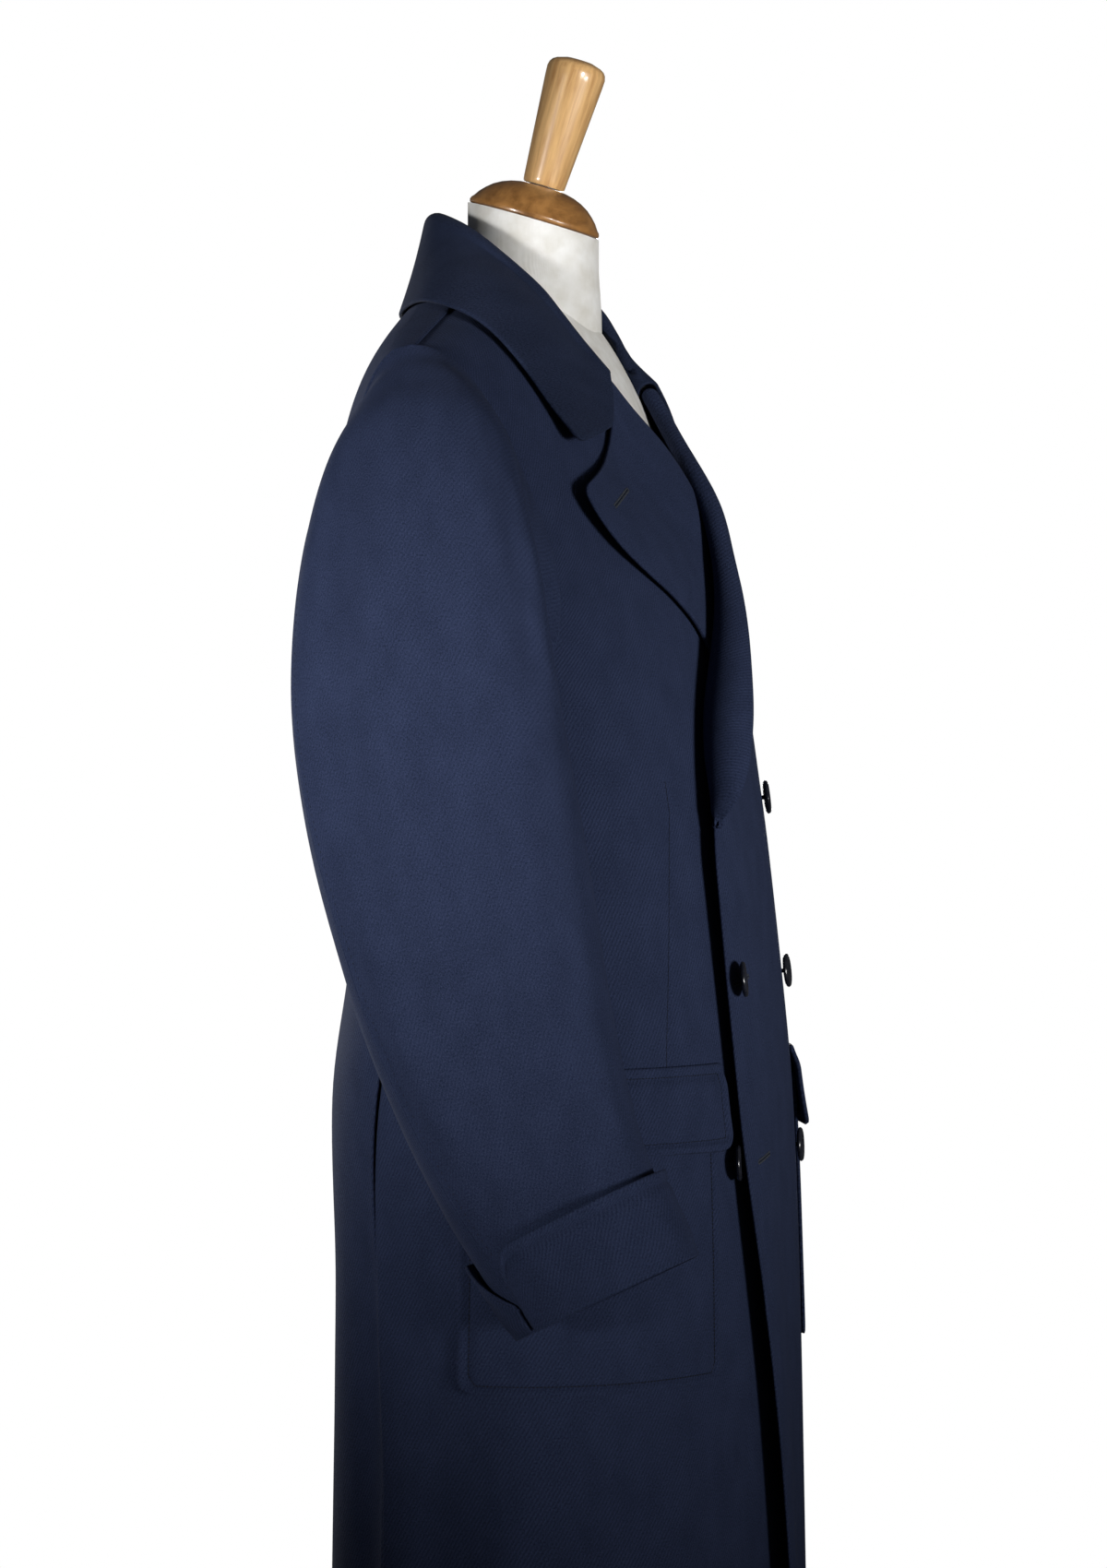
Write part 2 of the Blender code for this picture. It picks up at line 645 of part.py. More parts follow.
def cuff_top(clock):
    """Where the cuff's upper edge lies on the sleeve: it drops into a notch at the back arm seam."""
    away = (clock - row_at(ARM_SEAM_ROWS, 1.0)[0] + 180) % 360 - 180
    if away > 0:
        over = min(1.0, away / CUFF_NOTCH_TOP)
        notch = 1 - math.sqrt(1 - (1 - over) ** 2)
    else:
        notch = max(0.0, 1 + away / CUFF_NOTCH_UNDER)
    return mix(CUFF_START, 1.0, CUFF_NOTCH * notch)


def lay_cuff(side):
    gap = 1.2

    def surface(u, v):
        seam = row_at(ARM_SEAM_ROWS, 1.0)[0]
        crowded = u - CUFF_CROWDING * math.sin(math.tau * u)
        clock = mix(seam + gap, seam + 360 - gap, crowded)
        top = cuff_top(clock)
        along = mix(top, 1.0, v)
        out = mix(CUFF_STAND_OFF + CUFF_FLARE * (1 - v), CLOTH + CUFF_HEM_GAP, smooth((v - 0.7) / 0.3))
        point = sleeve_point(side, clock, along, out)
        lower = Vector((0, -math.sin(math.radians(27)), -math.cos(math.radians(27)))) * CUFF_DROP
        return point + lower * smooth((v - 0.6) / 0.4)
    return with_normal(surface, side)


# ---------------------------------------------------------------- pockets and flaps

def corner_inset(distance, radius):
    """How far a rounded corner draws a side in, at a distance from the edge it rounds into."""
    if distance >= radius:
        return 0.0
    return radius - math.sqrt(max(0.0, radius ** 2 - (radius - distance) ** 2))


def lay_patch(side, front_angle, back_angle, top, bottom, corner, height_off):
    """A patch on the body surface, height_off(u, down) from it; its lower corners are rounded."""
    def lay(u, v):
        down = 1 - (1 - v) ** 1.7
        level = mix(top, bottom, down)
        inset = math.degrees(corner_inset(level - bottom, corner) / 0.2)
        angle = mix(front_angle + inset, back_angle - inset, u)
        normal = body_normal(side * angle, level)
        return body_point(side * angle, level) + normal * height_off(u, down), normal
    return lay


def pocket_height(u, down):
    return POCKET_STAND_OFF + POCKET_SLACK * math.sin(math.pi * down) * math.sin(math.pi * u)


def flap_height(u, down):
    lifted = mix(FLAP_SEAM_OFF, FLAP_STAND_OFF, smooth(down / 0.3))
    return lifted + FLAP_FLARE * down ** 2 * (1 - u) ** 3


# ---------------------------------------------------------------- buttons

def button_spots():
    """Each button's name, the front it lies on, its x to that front's side, its level and height off."""
    spots = []
    for row, level in BUTTON_LEVELS.items():
        spots.append(("button_left_" + row, LEFT, BUTTON_COLUMN_X, level, BUTTON_SHANK))
    spots.append(("button_right_middle", LEFT, -BUTTON_COLUMN_X, BUTTON_LEVELS["middle"], BUTTON_SHANK))
    spots.append(("button_right_low", RIGHT, LOW_BUTTON_X, BUTTON_LEVELS["low"], SEAM))
    return spots


def add_button(name, point, normal, material):
    """A turned four-hole button: rounded edge, dished face."""
    profile = [
        (0.0, BUTTON_THICK - BUTTON_DISH),
        (0.0055, BUTTON_THICK - BUTTON_DISH),
        (0.0085, BUTTON_THICK - 0.0004),
        (0.0102, BUTTON_THICK),
        (0.0118, BUTTON_THICK - 0.0007),
        (BUTTON_RADIUS, BUTTON_THICK * 0.55),
        (0.0112, BUTTON_THICK * 0.15),
        (0.0070, 0.0),
        (0.0, 0.0),
    ]
    bm = turned(profile, 16)
    turn = Vector((0, 0, 1)).rotation_difference(normal).to_matrix().to_4x4()
    bmesh.ops.transform(bm, matrix=Matrix.Translation(point) @ turn, verts=list(bm.verts))
    return finish(name, bm, material, 50)


def turned(profile, sides):
    """Spin a profile of (radius, height) rows about the Z axis into a closed body."""
    bm = bmesh.new()
    chain = [bm.verts.new((radius, 0, height)) for radius, height in profile]
    for low, high in zip(chain, chain[1:]):
        bm.edges.new((low, high))
    bmesh.ops.spin(bm, geom=list(bm.verts) + list(bm.edges), axis=(0, 0, 1), cent=(0, 0, 0),
                   angle=math.tau, steps=sides, use_merge=True)
    bmesh.ops.remove_doubles(bm, verts=list(bm.verts), dist=0.00001)
    face_outwards(bm)
    return bm


# ---------------------------------------------------------------- dress form

def form_point(u, v):
    """A point of the torso: u round it from the centre front, v from the shoulder line (0) down (1)."""
    angle = 360 * u
    arc = math.radians(90 * min(1.0, v / FORM_SHOULDER_SHARE))
    level = TOP - (TOP - FORM_SHOULDER_LEVEL) * (1 - math.cos(arc))
    if v > FORM_SHOULDER_SHARE:
        down = (v - FORM_SHOULDER_SHARE) / (1 - FORM_SHOULDER_SHARE)
        level = mix(FORM_SHOULDER_LEVEL, FORM_BOTTOM, down)
    ease = mix(FORM_EASE, FORM_LOW_EASE, smooth((FORM_SHOULDER_LEVEL + 0.05 - level) / 0.25))
    surface = body_point(angle, level)
    inside = surface - body_normal(angle, level) * (CLOTH + ease)
    if abs(inside.x) > FORM_HALF_SHOULDER:
        drop_kept = shoulder_drop(surface.x, level) - shoulder_drop(FORM_HALF_SHOULDER, level)
        inside.z += drop_kept
        inside.x = math.copysign(FORM_HALF_SHOULDER, inside.x)
    return inside


def cap_matrix(height):
    """A frame on the axis of the tilted neck cap, height above the neck's cut."""
    tilt = Matrix.Rotation(math.radians(NECK_TILT), 4, "X")
    return Matrix.Translation((0, NECK_CENTRE_Y, NECK_TOP)) @ tilt @ Matrix.Translation((0, 0, height))


def build_torso(material):
    """The torso: rings closed along the shoulder line, with the neck joined on."""
    bm = bmesh.new()
    bmesh.ops.create_grid(bm, x_segments=FORM_SIDES, y_segments=FORM_RINGS, size=0.5)
    for vert in bm.verts:
        vert.co = form_point((vert.co.x + 0.5) % 1.0, vert.co.y + 0.5)
    bmesh.ops.remove_doubles(bm, verts=list(bm.verts), dist=0.0005)
    bmesh.ops.holes_fill(bm, edges=[edge for edge in bm.edges if edge.is_boundary], sides=0)
    bmesh.ops.triangulate(bm, faces=[face for face in bm.faces if len(face.verts) > 4])
    face_outwards(bm)
    torso = finish("form_torso", bm, material)

    bm = turned([(0.0, NECK_TOP + 0.03), (NECK_RADIUS, NECK_TOP + 0.03), (NECK_RADIUS, 1.50),
                 (NECK_RADIUS + 0.002, 1.47), (NECK_RADIUS + 0.003, 1.42), (0.0, 1.42)], FORM_SIDES)
    bmesh.ops.translate(bm, vec=(0, NECK_CENTRE_Y, 0), verts=list(bm.verts))
    cut = cap_matrix(0.0)
    trimmed = bmesh.ops.bisect_plane(bm, geom=list(bm.verts) + list(bm.edges) + list(bm.faces),
                                     plane_co=cut.translation, plane_no=cut.col[2].xyz, clear_outer=True)
    rim = [item for item in trimmed["geom_cut"] if isinstance(item, bmesh.types.BMEdge)]
    bmesh.ops.holes_fill(bm, edges=rim, sides=0)
    face_outwards(bm)
    neck = finish("neck_to_join", bm, material)
    neck.hide_render = True
    neck.display_type = "WIRE"
    join = torso.modifiers.new("neck", "BOOLEAN")
    join.operation = "UNION"
    join.object = neck
    return torso


def build_stand(wood, metal):
    """Wooden neck cap and handle above, a plain pole and a flat round foot below."""
    cap = turned([(0.0, CAP_THICK), (0.018, CAP_THICK - 0.0008), (0.030, CAP_THICK - 0.0045),
                  (0.040, CAP_THICK - 0.0115), (0.0465, CAP_THICK - 0.0195), (CAP_RADIUS, 0.0025),
                  (CAP_RADIUS - 0.002, 0.0), (0.0, 0.0)], 32)
    bmesh.ops.transform(cap, matrix=cap_matrix(SEAM), verts=list(cap.verts))
    finish("form_neck_cap", cap, wood)

    handle = turned([(0.0, HANDLE_HEIGHT), (0.010, HANDLE_HEIGHT - 0.0008),
                     (0.0165, HANDLE_HEIGHT - 0.0028), (0.0205, HANDLE_HEIGHT - 0.0062),
                     (HANDLE_TOP_RADIUS, HANDLE_HEIGHT - 0.0095), (HANDLE_FOOT_RADIUS, 0.0),
                     (0.0, 0.0)], 24)
    bmesh.ops.transform(handle, matrix=cap_matrix(CAP_THICK + 2 * SEAM), verts=list(handle.verts))
    finish("form_handle", handle, wood)

    pole_top = FORM_BOTTOM - SEAM
    pole = turned([(0.0, pole_top), (POLE_RADIUS + 0.016, pole_top), (POLE_RADIUS + 0.016, pole_top - 0.006),
                   (POLE_RADIUS, pole_top - 0.012), (POLE_RADIUS, BASE_HEIGHT + 0.030),
                   (POLE_RADIUS + 0.012, BASE_HEIGHT + 0.006), (POLE_RADIUS + 0.012, BASE_HEIGHT + SEAM),
                   (0.0, BASE_HEIGHT + SEAM)], 20)
    finish("form_pole", pole, metal)

    foot = turned([(0.0, BASE_HEIGHT), (0.060, BASE_HEIGHT), (0.120, BASE_HEIGHT * 0.72),
                   (BASE_RADIUS - 0.010, BASE_HEIGHT * 0.42), (BASE_RADIUS, BASE_HEIGHT * 0.22),
                   (BASE_RADIUS, 0.0), (0.0, 0.0)], 40)
    finish("form_foot", foot, metal)


# ---------------------------------------------------------------- everything together

def plain_material(name, colour, roughness, metallic=0.0):
    material = bpy.data.materials.new(name)
    material.use_nodes = True
    shader = material.node_tree.nodes["Principled BSDF"]
    shader.inputs["Base Color"].default_value = (*colour, 1)
    shader.inputs["Roughness"].default_value = roughness
    shader.inputs["Metallic"].default_value = metallic
    return material


def main():
    for item in list(bpy.data.objects):
        bpy.data.objects.remove(item, do_unlink=True)
    wool = plain_material("navy_wool", (0.020, 0.028, 0.062), 0.9)
    horn = plain_material("dark_button", (0.010, 0.012, 0.022), 0.25)
    canvas = plain_material("cream_canvas", (0.78, 0.74, 0.64), 0.85)
    wood = plain_material("honey_wood", (0.55, 0.31, 0.11), 0.35)
    metal = plain_material("dark_metal", (0.05, 0.05, 0.055), 0.45, 0.8)

    for side, word in ((LEFT, "left"), (RIGHT, "right")):
        cloth_wall("front_" + word, FRONT_COLUMNS, PANEL_ROWS, lay_front(side), CLOTH, wool)
        cloth_wall("back_" + word, BACK_COLUMNS, PANEL_ROWS, lay_back(side), CLOTH, wool)
        cloth_wall("lapel_" + word, 12, 11, lay_lapel(side), LAPEL_CLOTH, wool)
        cloth_wall("top_sleeve_" + word, 11, SLEEVE_SEGMENTS,
                   lay_sleeve(side, under=False), CLOTH, wool)
        cloth_wall("under_sleeve_" + word, 8, SLEEVE_SEGMENTS,
                   lay_sleeve(side, under=True), CLOTH, wool)
        cloth_wall("cuff_" + word, 26, 4, lay_cuff(side), CLOTH, wool)
        cloth_wall("pocket_" + word, 8, 8,
                   lay_patch(side, POCKET_FRONT_ANGLE, POCKET_BACK_ANGLE, POCKET_TOP, POCKET_BOTTOM,
                             POCKET_CORNER, pocket_height), CLOTH, wool)
        cloth_wall("flap_" + word, 8, 5,
                   lay_patch(side, FLAP_FRONT_ANGLE, FLAP_BACK_ANGLE, FLAP_TOP, FLAP_BOTTOM,
                             FLAP_CORNER, flap_height), FLAP_CLOTH, wool)
    cloth_wall("collar", 30, 10, with_normal(collar_point, -1), COLLAR_CLOTH, wool)
    for name, side, x, level, out in button_spots():
        point, normal = front_place(side, x, level, out)
        add_button(name, point, normal, horn)
    build_torso(canvas)
    build_stand(wood, metal)


main()
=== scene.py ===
"""The looks of the wool overcoat on its dress form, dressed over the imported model.

Metres, +Z up, in the model's own frame: the coat faces -Y and the wearer's left is +X. A "level" is a height
on the centre line; away from it the shoulders drop. An "angle" goes round the body: 0 front, 90 side, 180 back.
"""
import math

import bmesh
import bpy
from mathutils import Matrix, Vector


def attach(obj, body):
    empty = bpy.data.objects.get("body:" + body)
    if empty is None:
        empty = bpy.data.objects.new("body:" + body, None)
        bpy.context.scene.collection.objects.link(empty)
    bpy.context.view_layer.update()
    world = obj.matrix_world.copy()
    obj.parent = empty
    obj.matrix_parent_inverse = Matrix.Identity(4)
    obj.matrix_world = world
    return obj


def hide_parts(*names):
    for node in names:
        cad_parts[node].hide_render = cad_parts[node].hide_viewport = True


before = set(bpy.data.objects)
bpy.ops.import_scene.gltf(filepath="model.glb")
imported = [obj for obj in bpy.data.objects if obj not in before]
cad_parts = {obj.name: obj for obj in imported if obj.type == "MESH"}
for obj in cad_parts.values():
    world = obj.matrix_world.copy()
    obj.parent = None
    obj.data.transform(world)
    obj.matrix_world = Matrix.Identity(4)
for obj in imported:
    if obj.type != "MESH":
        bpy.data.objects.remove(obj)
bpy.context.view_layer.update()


# ---------------------------------------------------------------- the studio
# A plain pale floor under a white surround. Soft spotlights with narrow cones light the coat from behind its
# right arm, from the front, at the neck and from its far side, so that the dark wool shows its folds.
FLOOR_RADIUS = 2.2
FLOOR_TONE = (0.86, 0.86, 0.86, 1)
SURROUND_FILL = 0.045     # how much of its white the surround throws on the coat
FLOOR_GLOW = 0.75         # the floor looks as pale as the surround, and sends no light of its own up
CAMERA_AZIMUTH = 287.0
CAMERA_DISTANCE = 3.0
CAMERA_HEIGHT = 1.13
CAMERA_LENS = 95.294
CAMERA_SHIFT = -16 / 1700
LIGHTS = [                # name, azimuth round the coat, distance, height, aimed at height, radius, cone, watts
    ("sleeve_light", 247.0, 3.00, 1.05, 1.21, 0.35, 17.6, 475.0),
    ("front_light", 333.0, 3.00, 0.95, 1.14, 0.40, 26.0, 258.0),
    ("crown_light", 318.0, 3.00, 1.65, 1.66, 0.20, 8.0, 470.0),
    ("left_light", 105.0, 3.00, 1.20, 1.10, 0.50, 40.0, 190.0),
    ("back_light", 142.0, 3.00, 1.20, 1.10, 0.50, 40.0, 130.0),
]


def round_place(azimuth, distance, height):
    turn = math.radians(azimuth)
    return Vector((math.sin(turn) * distance, -math.cos(turn) * distance, height))


def link(item):
    bpy.context.scene.collection.objects.link(item)
    return item


def keep_mesh(name, bm, material, smooth_angle=40):
    """Turn a finished bmesh into a shaded object."""
    mesh = bpy.data.meshes.new(name)
    bm.to_mesh(mesh)
    bm.free()
    piece = link(bpy.data.objects.new(name, mesh))
    mesh.materials.append(material)
    mesh.shade_smooth()
    mesh.set_sharp_from_angle(angle=math.radians(smooth_angle))
    return piece


def new_material(name, roughness, metallic=0.0):
    material = bpy.data.materials.new(name)
    material.use_nodes = True
    shader = material.node_tree.nodes["Principled BSDF"]
    shader.inputs["Roughness"].default_value = roughness
    shader.inputs["Metallic"].default_value = metallic
    return material, material.node_tree, shader


def add_node(tree, kind, **values):
    """Add a node and set its input sockets; an underscore in a socket's title stands for a space."""
    node = tree.nodes.new(kind)
    for title, value in values.items():
        node.inputs[title.replace("_", " ")].default_value = value
    return node


def wire(tree, output, *inputs):
    for socket in inputs:
        tree.links.new(output, socket)


def colour_ramp(tree, shade, dark, light, dark_at=0.0, light_at=1.0):
    """The colour for a shade from 0 to 1, between two tones."""
    tone = add_node(tree, "ShaderNodeValToRGB")
    for element, colour, place in zip(tone.color_ramp.elements, (dark, light), (dark_at, light_at)):
        element.color = colour
        element.position = place
    wire(tree, shade, tone.inputs["Fac"])
    return tone.outputs["Color"]


def add_bump(tree, shader, height, strength, distance):
    bump = add_node(tree, "ShaderNodeBump", Strength=strength, Distance=distance)
    wire(tree, height, bump.inputs["Height"])
    wire(tree, bump.outputs["Normal"], shader.inputs["Normal"])


camera_data = bpy.data.cameras.new("camera")
camera_data.sensor_width = 36.0
camera_data.lens = CAMERA_LENS
camera_data.shift_x = CAMERA_SHIFT
camera_data.clip_end = 50
camera = link(bpy.data.objects.new("camera", camera_data))
camera.location = round_place(CAMERA_AZIMUTH, CAMERA_DISTANCE, CAMERA_HEIGHT)
camera.rotation_euler = (math.radians(90), 0, math.radians(CAMERA_AZIMUTH - 360))
bpy.context.scene.camera = camera

for name, azimuth, distance, height, aim, radius, cone, watts in LIGHTS:
    light_data = bpy.data.lights.new(name, "SPOT")
    light_data.shadow_soft_size = radius
    light_data.spot_size = math.radians(cone)
    light_data.spot_blend = 1.0
    light_data.energy = watts
    light = link(bpy.data.objects.new(name, light_data))
    light.location = round_place(azimuth, distance, height)
    facing = Vector((0, 0, aim)) - light.location
    light.rotation_euler = facing.to_track_quat("-Z", "Y").to_euler()

surround = bpy.data.worlds.new("surround")
surround.use_nodes = True
white = surround.node_tree.nodes["Background"]
white.inputs["Color"].default_value = (1, 1, 1, 1)
seen = add_node(surround.node_tree, "ShaderNodeLightPath")
weaker = add_node(surround.node_tree, "ShaderNodeMapRange", To_Min=SURROUND_FILL, To_Max=1.0)
wire(surround.node_tree, seen.outputs["Is Camera Ray"], weaker.inputs["Value"])
wire(surround.node_tree, weaker.outputs["Result"], white.inputs["Strength"])
bpy.context.scene.world = surround
bpy.context.scene.view_settings.view_transform = "Standard"

floor_paint, floor_tree, floor_shader = new_material("pale_floor", 0.6)
floor_shader.inputs["Base Color"].default_value = FLOOR_TONE
floor_shader.inputs["Emission Color"].default_value = FLOOR_TONE
floor_seen = add_node(floor_tree, "ShaderNodeLightPath")
floor_glow = add_node(floor_tree, "ShaderNodeMath")
floor_glow.operation = "MULTIPLY"
floor_glow.inputs[1].default_value = FLOOR_GLOW
wire(floor_tree, floor_seen.outputs["Is Camera Ray"], floor_glow.inputs[0])
wire(floor_tree, floor_glow.outputs["Value"], floor_shader.inputs["Emission Strength"])
bm = bmesh.new()
bmesh.ops.create_circle(bm, cap_ends=True, segments=96, radius=FLOOR_RADIUS)
floor = keep_mesh("floor", bm, floor_paint)


# ---------------------------------------------------------------- the dress form's body
# A padded torso without limbs, covered in pale cotton canvas. It carries the coat on its shoulders, so its
# surface is the coat's own, a little smaller, and its neck is cut off at a slant for the cap.
LEFT = 1
RIGHT = -1
SIDES = ((LEFT, "left"), (RIGHT, "right"))
CLOTH = 0.0025
SEAM = 0.0003
TOP = 1.510
UNDERARM = 1.195
HEM = 0.350
BREAK = 1.095
SHOULDER_SLOPE = 0.44
SHOULDER_START = 1.16     # the level where the shoulders begin to slope, and over what height
SHOULDER_SPAN = 0.26
SPINE_ROUNDING = 0.02     # the slope is rounded off this near the centre plane
BACK_SQUARENESS = 2.3
BODY_ROWS = [             # level, half_width, front, back, side_line, front_squareness
    (0.350, 0.262, 0.163, 0.143, 0.000, 2.30),
    (0.600, 0.244, 0.160, 0.143, 0.000, 2.30),
    (0.780, 0.232, 0.157, 0.145, 0.000, 2.30),
    (0.910, 0.224, 0.152, 0.153, 0.002, 2.30),
    (1.010, 0.212, 0.143, 0.138, 0.006, 2.30),
    (1.090, 0.208, 0.134, 0.136, 0.010, 2.30),
    (1.200, 0.213, 0.120, 0.145, 0.022, 2.35),
    (1.280, 0.217, 0.115, 0.150, 0.034, 2.50),
    (1.400, 0.228, 0.100, 0.150, 0.043, 2.80),
    (1.510, 0.236, 0.100, 0.150, 0.045, 2.80),
]
CHEST_ROUNDING = (1.140, 1.95)
BLADE_ROUNDING = (1.270, 2.4)
FORM_EASE = 0.0016
FORM_LOW_EASE = 0.022
FORM_SHOULDER_LEVEL = 1.400
FORM_SHOULDER_SHARE = 0.38
FORM_HALF_SHOULDER = 0.186
FORM_BOTTOM = 0.800
NECK_CENTRE_Y = 0.0265
NECK_RADIUS = 0.0475
NECK_TOP = 1.5375
NECK_TILT = 17.0


def row_at(rows, where):
    """Read a table at any value of its first column, along a smooth curve through its rows."""
    where = min(rows[-1][0], max(rows[0][0], where))
    k = 0
    while k < len(rows) - 2 and where > rows[k + 1][0]:
        k += 1
    before = rows[max(0, k - 1)]
    here = rows[k]
    there = rows[k + 1]
    after = rows[min(len(rows) - 1, k + 2)]
    span = there[0] - here[0]
    t = (where - here[0]) / span
    values = []
    for c in range(1, len(here)):
        slope_here = (there[c] - before[c]) / (there[0] - before[0]) * span
        slope_there = (after[c] - here[c]) / (after[0] - here[0]) * span
        values.append((2 * t ** 3 - 3 * t ** 2 + 1) * here[c] + (t ** 3 - 2 * t ** 2 + t) * slope_here
                      + (3 * t ** 2 - 2 * t ** 3) * there[c] + (t ** 3 - t ** 2) * slope_there)
    return values


def mix(a, b, t):
    return a + (b - a) * t


def smooth(t):
    t = min(1.0, max(0.0, t))
    return t * t * (3 - 2 * t)


def power(value, exponent):
    return math.copysign(abs(value) ** exponent, value)


def rounding(level, start_and_roundness):
    start, roundness = start_and_roundness
    t = (level - start) / (TOP - start)
    if t <= 0:
        return 1.0
    if t >= 1:
        return 0.0
    return (1 - t ** roundness) ** (1 / roundness)


def shoulder_drop(x, level):
    soft_x = math.sqrt(x * x + SPINE_ROUNDING ** 2) - SPINE_ROUNDING
    return SHOULDER_SLOPE * soft_x * smooth((level - SHOULDER_START) / SHOULDER_SPAN)


def body_point(angle, level):
    """A point of the coat's outer surface; negative angles are on the wearer's right."""
    half_width, front, back, side_line, squareness = row_at(BODY_ROWS, level)
    angle = (angle + 180) % 360 - 180
    turn = math.radians(abs(angle))
    if abs(angle) > 90:
        squareness = BACK_SQUARENESS
    x = math.copysign(half_width * math.sin(turn) ** (2 / squareness), angle)
    ahead = power(math.cos(turn), 2 / squareness)
    if ahead >= 0:
        y = side_line - (front + side_line) * rounding(level, CHEST_ROUNDING) * ahead
    else:
        y = side_line - (back - side_line) * rounding(level, BLADE_ROUNDING) * ahead
    return Vector((x, y, level - shoulder_drop(x, level)))


def body_normal(angle, level):
    """The way out of the body surface. On the shoulder line it points up."""
    if level > TOP - 0.0005:
        x = body_point(angle, level).x
        return Vector((SHOULDER_SLOPE * x / math.hypot(x, SPINE_ROUNDING), 0, 1)).normalized()
    step_up = min(TOP, level + 0.001)
    along = body_point(angle + 0.5, level) - body_point(angle - 0.5, level)
    up = body_point(angle, step_up) - body_point(angle, level - 0.001)
    return along.cross(up).normalized()


def form_point(u, v):
    """A point of the torso: u round it from the centre front, v from the shoulder line (0) down (1)."""
    angle = 360 * u
    arc = math.radians(90 * min(1.0, v / FORM_SHOULDER_SHARE))
    level = TOP - (TOP - FORM_SHOULDER_LEVEL) * (1 - math.cos(arc))
    if v > FORM_SHOULDER_SHARE:
        down = (v - FORM_SHOULDER_SHARE) / (1 - FORM_SHOULDER_SHARE)
        level = mix(FORM_SHOULDER_LEVEL, FORM_BOTTOM, down)
    ease = mix(FORM_EASE, FORM_LOW_EASE, smooth((FORM_SHOULDER_LEVEL + 0.05 - level) / 0.25))
    surface = body_point(angle, level)
    inside = surface - body_normal(angle, level) * (CLOTH + ease)
    if abs(inside.x) > FORM_HALF_SHOULDER:
        drop_kept = shoulder_drop(surface.x, level) - shoulder_drop(FORM_HALF_SHOULDER, level)
        inside.z += drop_kept
        inside.x = math.copysign(FORM_HALF_SHOULDER, inside.x)
    return inside


def cap_matrix(height):
    """A frame on the axis of the tilted neck cap, height above the neck's cut."""
    tilt = Matrix.Rotation(math.radians(NECK_TILT), 4, "X")
    return Matrix.Translation((0, NECK_CENTRE_Y, NECK_TOP)) @ tilt @ Matrix.Translation((0, 0, height))


def turned(profile, sides):
    """Spin a profile of (radius, height) rows about the Z axis into a closed body."""
    bm = bmesh.new()
    chain = [bm.verts.new((radius, 0, height)) for radius, height in profile]
    for low, high in zip(chain, chain[1:]):
        bm.edges.new((low, high))
    bmesh.ops.spin(bm, geom=list(bm.verts) + list(bm.edges), axis=(0, 0, 1), cent=(0, 0, 0),
                   angle=math.tau, steps=sides, use_merge=True)
    bmesh.ops.remove_doubles(bm, verts=list(bm.verts), dist=0.00001)
    bmesh.ops.recalc_face_normals(bm, faces=list(bm.faces))
    return bm


def canvas_material():
    """Unbleached canvas: a plain weave of round threads with a few thicker ones."""
    material, tree, shader = new_material("cream_canvas", 0.85)
    place = add_node(tree, "ShaderNodeTexCoord")
    across = add_node(tree, "ShaderNodeTexWave", Scale=420, Distortion=0.6)
    across.bands_direction = "X"
    down = add_node(tree, "ShaderNodeTexWave", Scale=420, Distortion=0.6)
    down.bands_direction = "Z"
    weave = add_node(tree, "ShaderNodeMath")
    weave.operation = "MULTIPLY"
    slub = add_node(tree, "ShaderNodeTexNoise", Scale=60, Detail=6)
    wire(tree, place.outputs["Object"], across.inputs["Vector"], down.inputs["Vector"], slub.inputs["Vector"])
    wire(tree, across.outputs["Fac"], weave.inputs[0])
    wire(tree, down.outputs["Fac"], weave.inputs[1])
    tone = colour_ramp(tree, slub.outputs["Fac"], (0.74, 0.71, 0.64, 1), (0.93, 0.92, 0.89, 1), 0.25, 0.70)
    wire(tree, tone, shader.inputs["Base Color"])
    add_bump(tree, shader, weave.outputs["Value"], 0.35, 0.0006)
    return material


canvas = canvas_material()
bm = bmesh.new()
bmesh.ops.create_grid(bm, x_segments=96, y_segments=72, size=0.5)
for vert in bm.verts:
    vert.co = form_point((vert.co.x + 0.5) % 1.0, vert.co.y + 0.5)
bmesh.ops.remove_doubles(bm, verts=list(bm.verts), dist=0.0004)
bmesh.ops.holes_fill(bm, edges=[edge for edge in bm.edges if edge.is_boundary], sides=0)
bmesh.ops.recalc_face_normals(bm, faces=list(bm.faces))
torso = keep_mesh("torso", bm, canvas)
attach(torso, "root")
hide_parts("form_torso")

bm = turned([(0.0, NECK_TOP + 0.03), (NECK_RADIUS, NECK_TOP + 0.03), (NECK_RADIUS, 1.50),
             (NECK_RADIUS + 0.002, 1.47), (NECK_RADIUS + 0.003, 1.42), (0.0, 1.42)], 96)
bmesh.ops.translate(bm, vec=(0, NECK_CENTRE_Y, 0), verts=list(bm.verts))
cut = cap_matrix(0.0)
trimmed = bmesh.ops.bisect_plane(bm, geom=list(bm.verts) + list(bm.edges) + list(bm.faces),
                                 plane_co=cut.translation, plane_no=cut.col[2].xyz, clear_outer=True)
rim = [item for item in trimmed["geom_cut"] if isinstance(item, bmesh.types.BMEdge)]
bmesh.ops.holes_fill(bm, edges=rim, sides=0)
bmesh.ops.recalc_face_normals(bm, faces=list(bm.faces))
neck = keep_mesh("neck", bm, canvas)
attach(neck, "root")
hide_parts("form_torso")


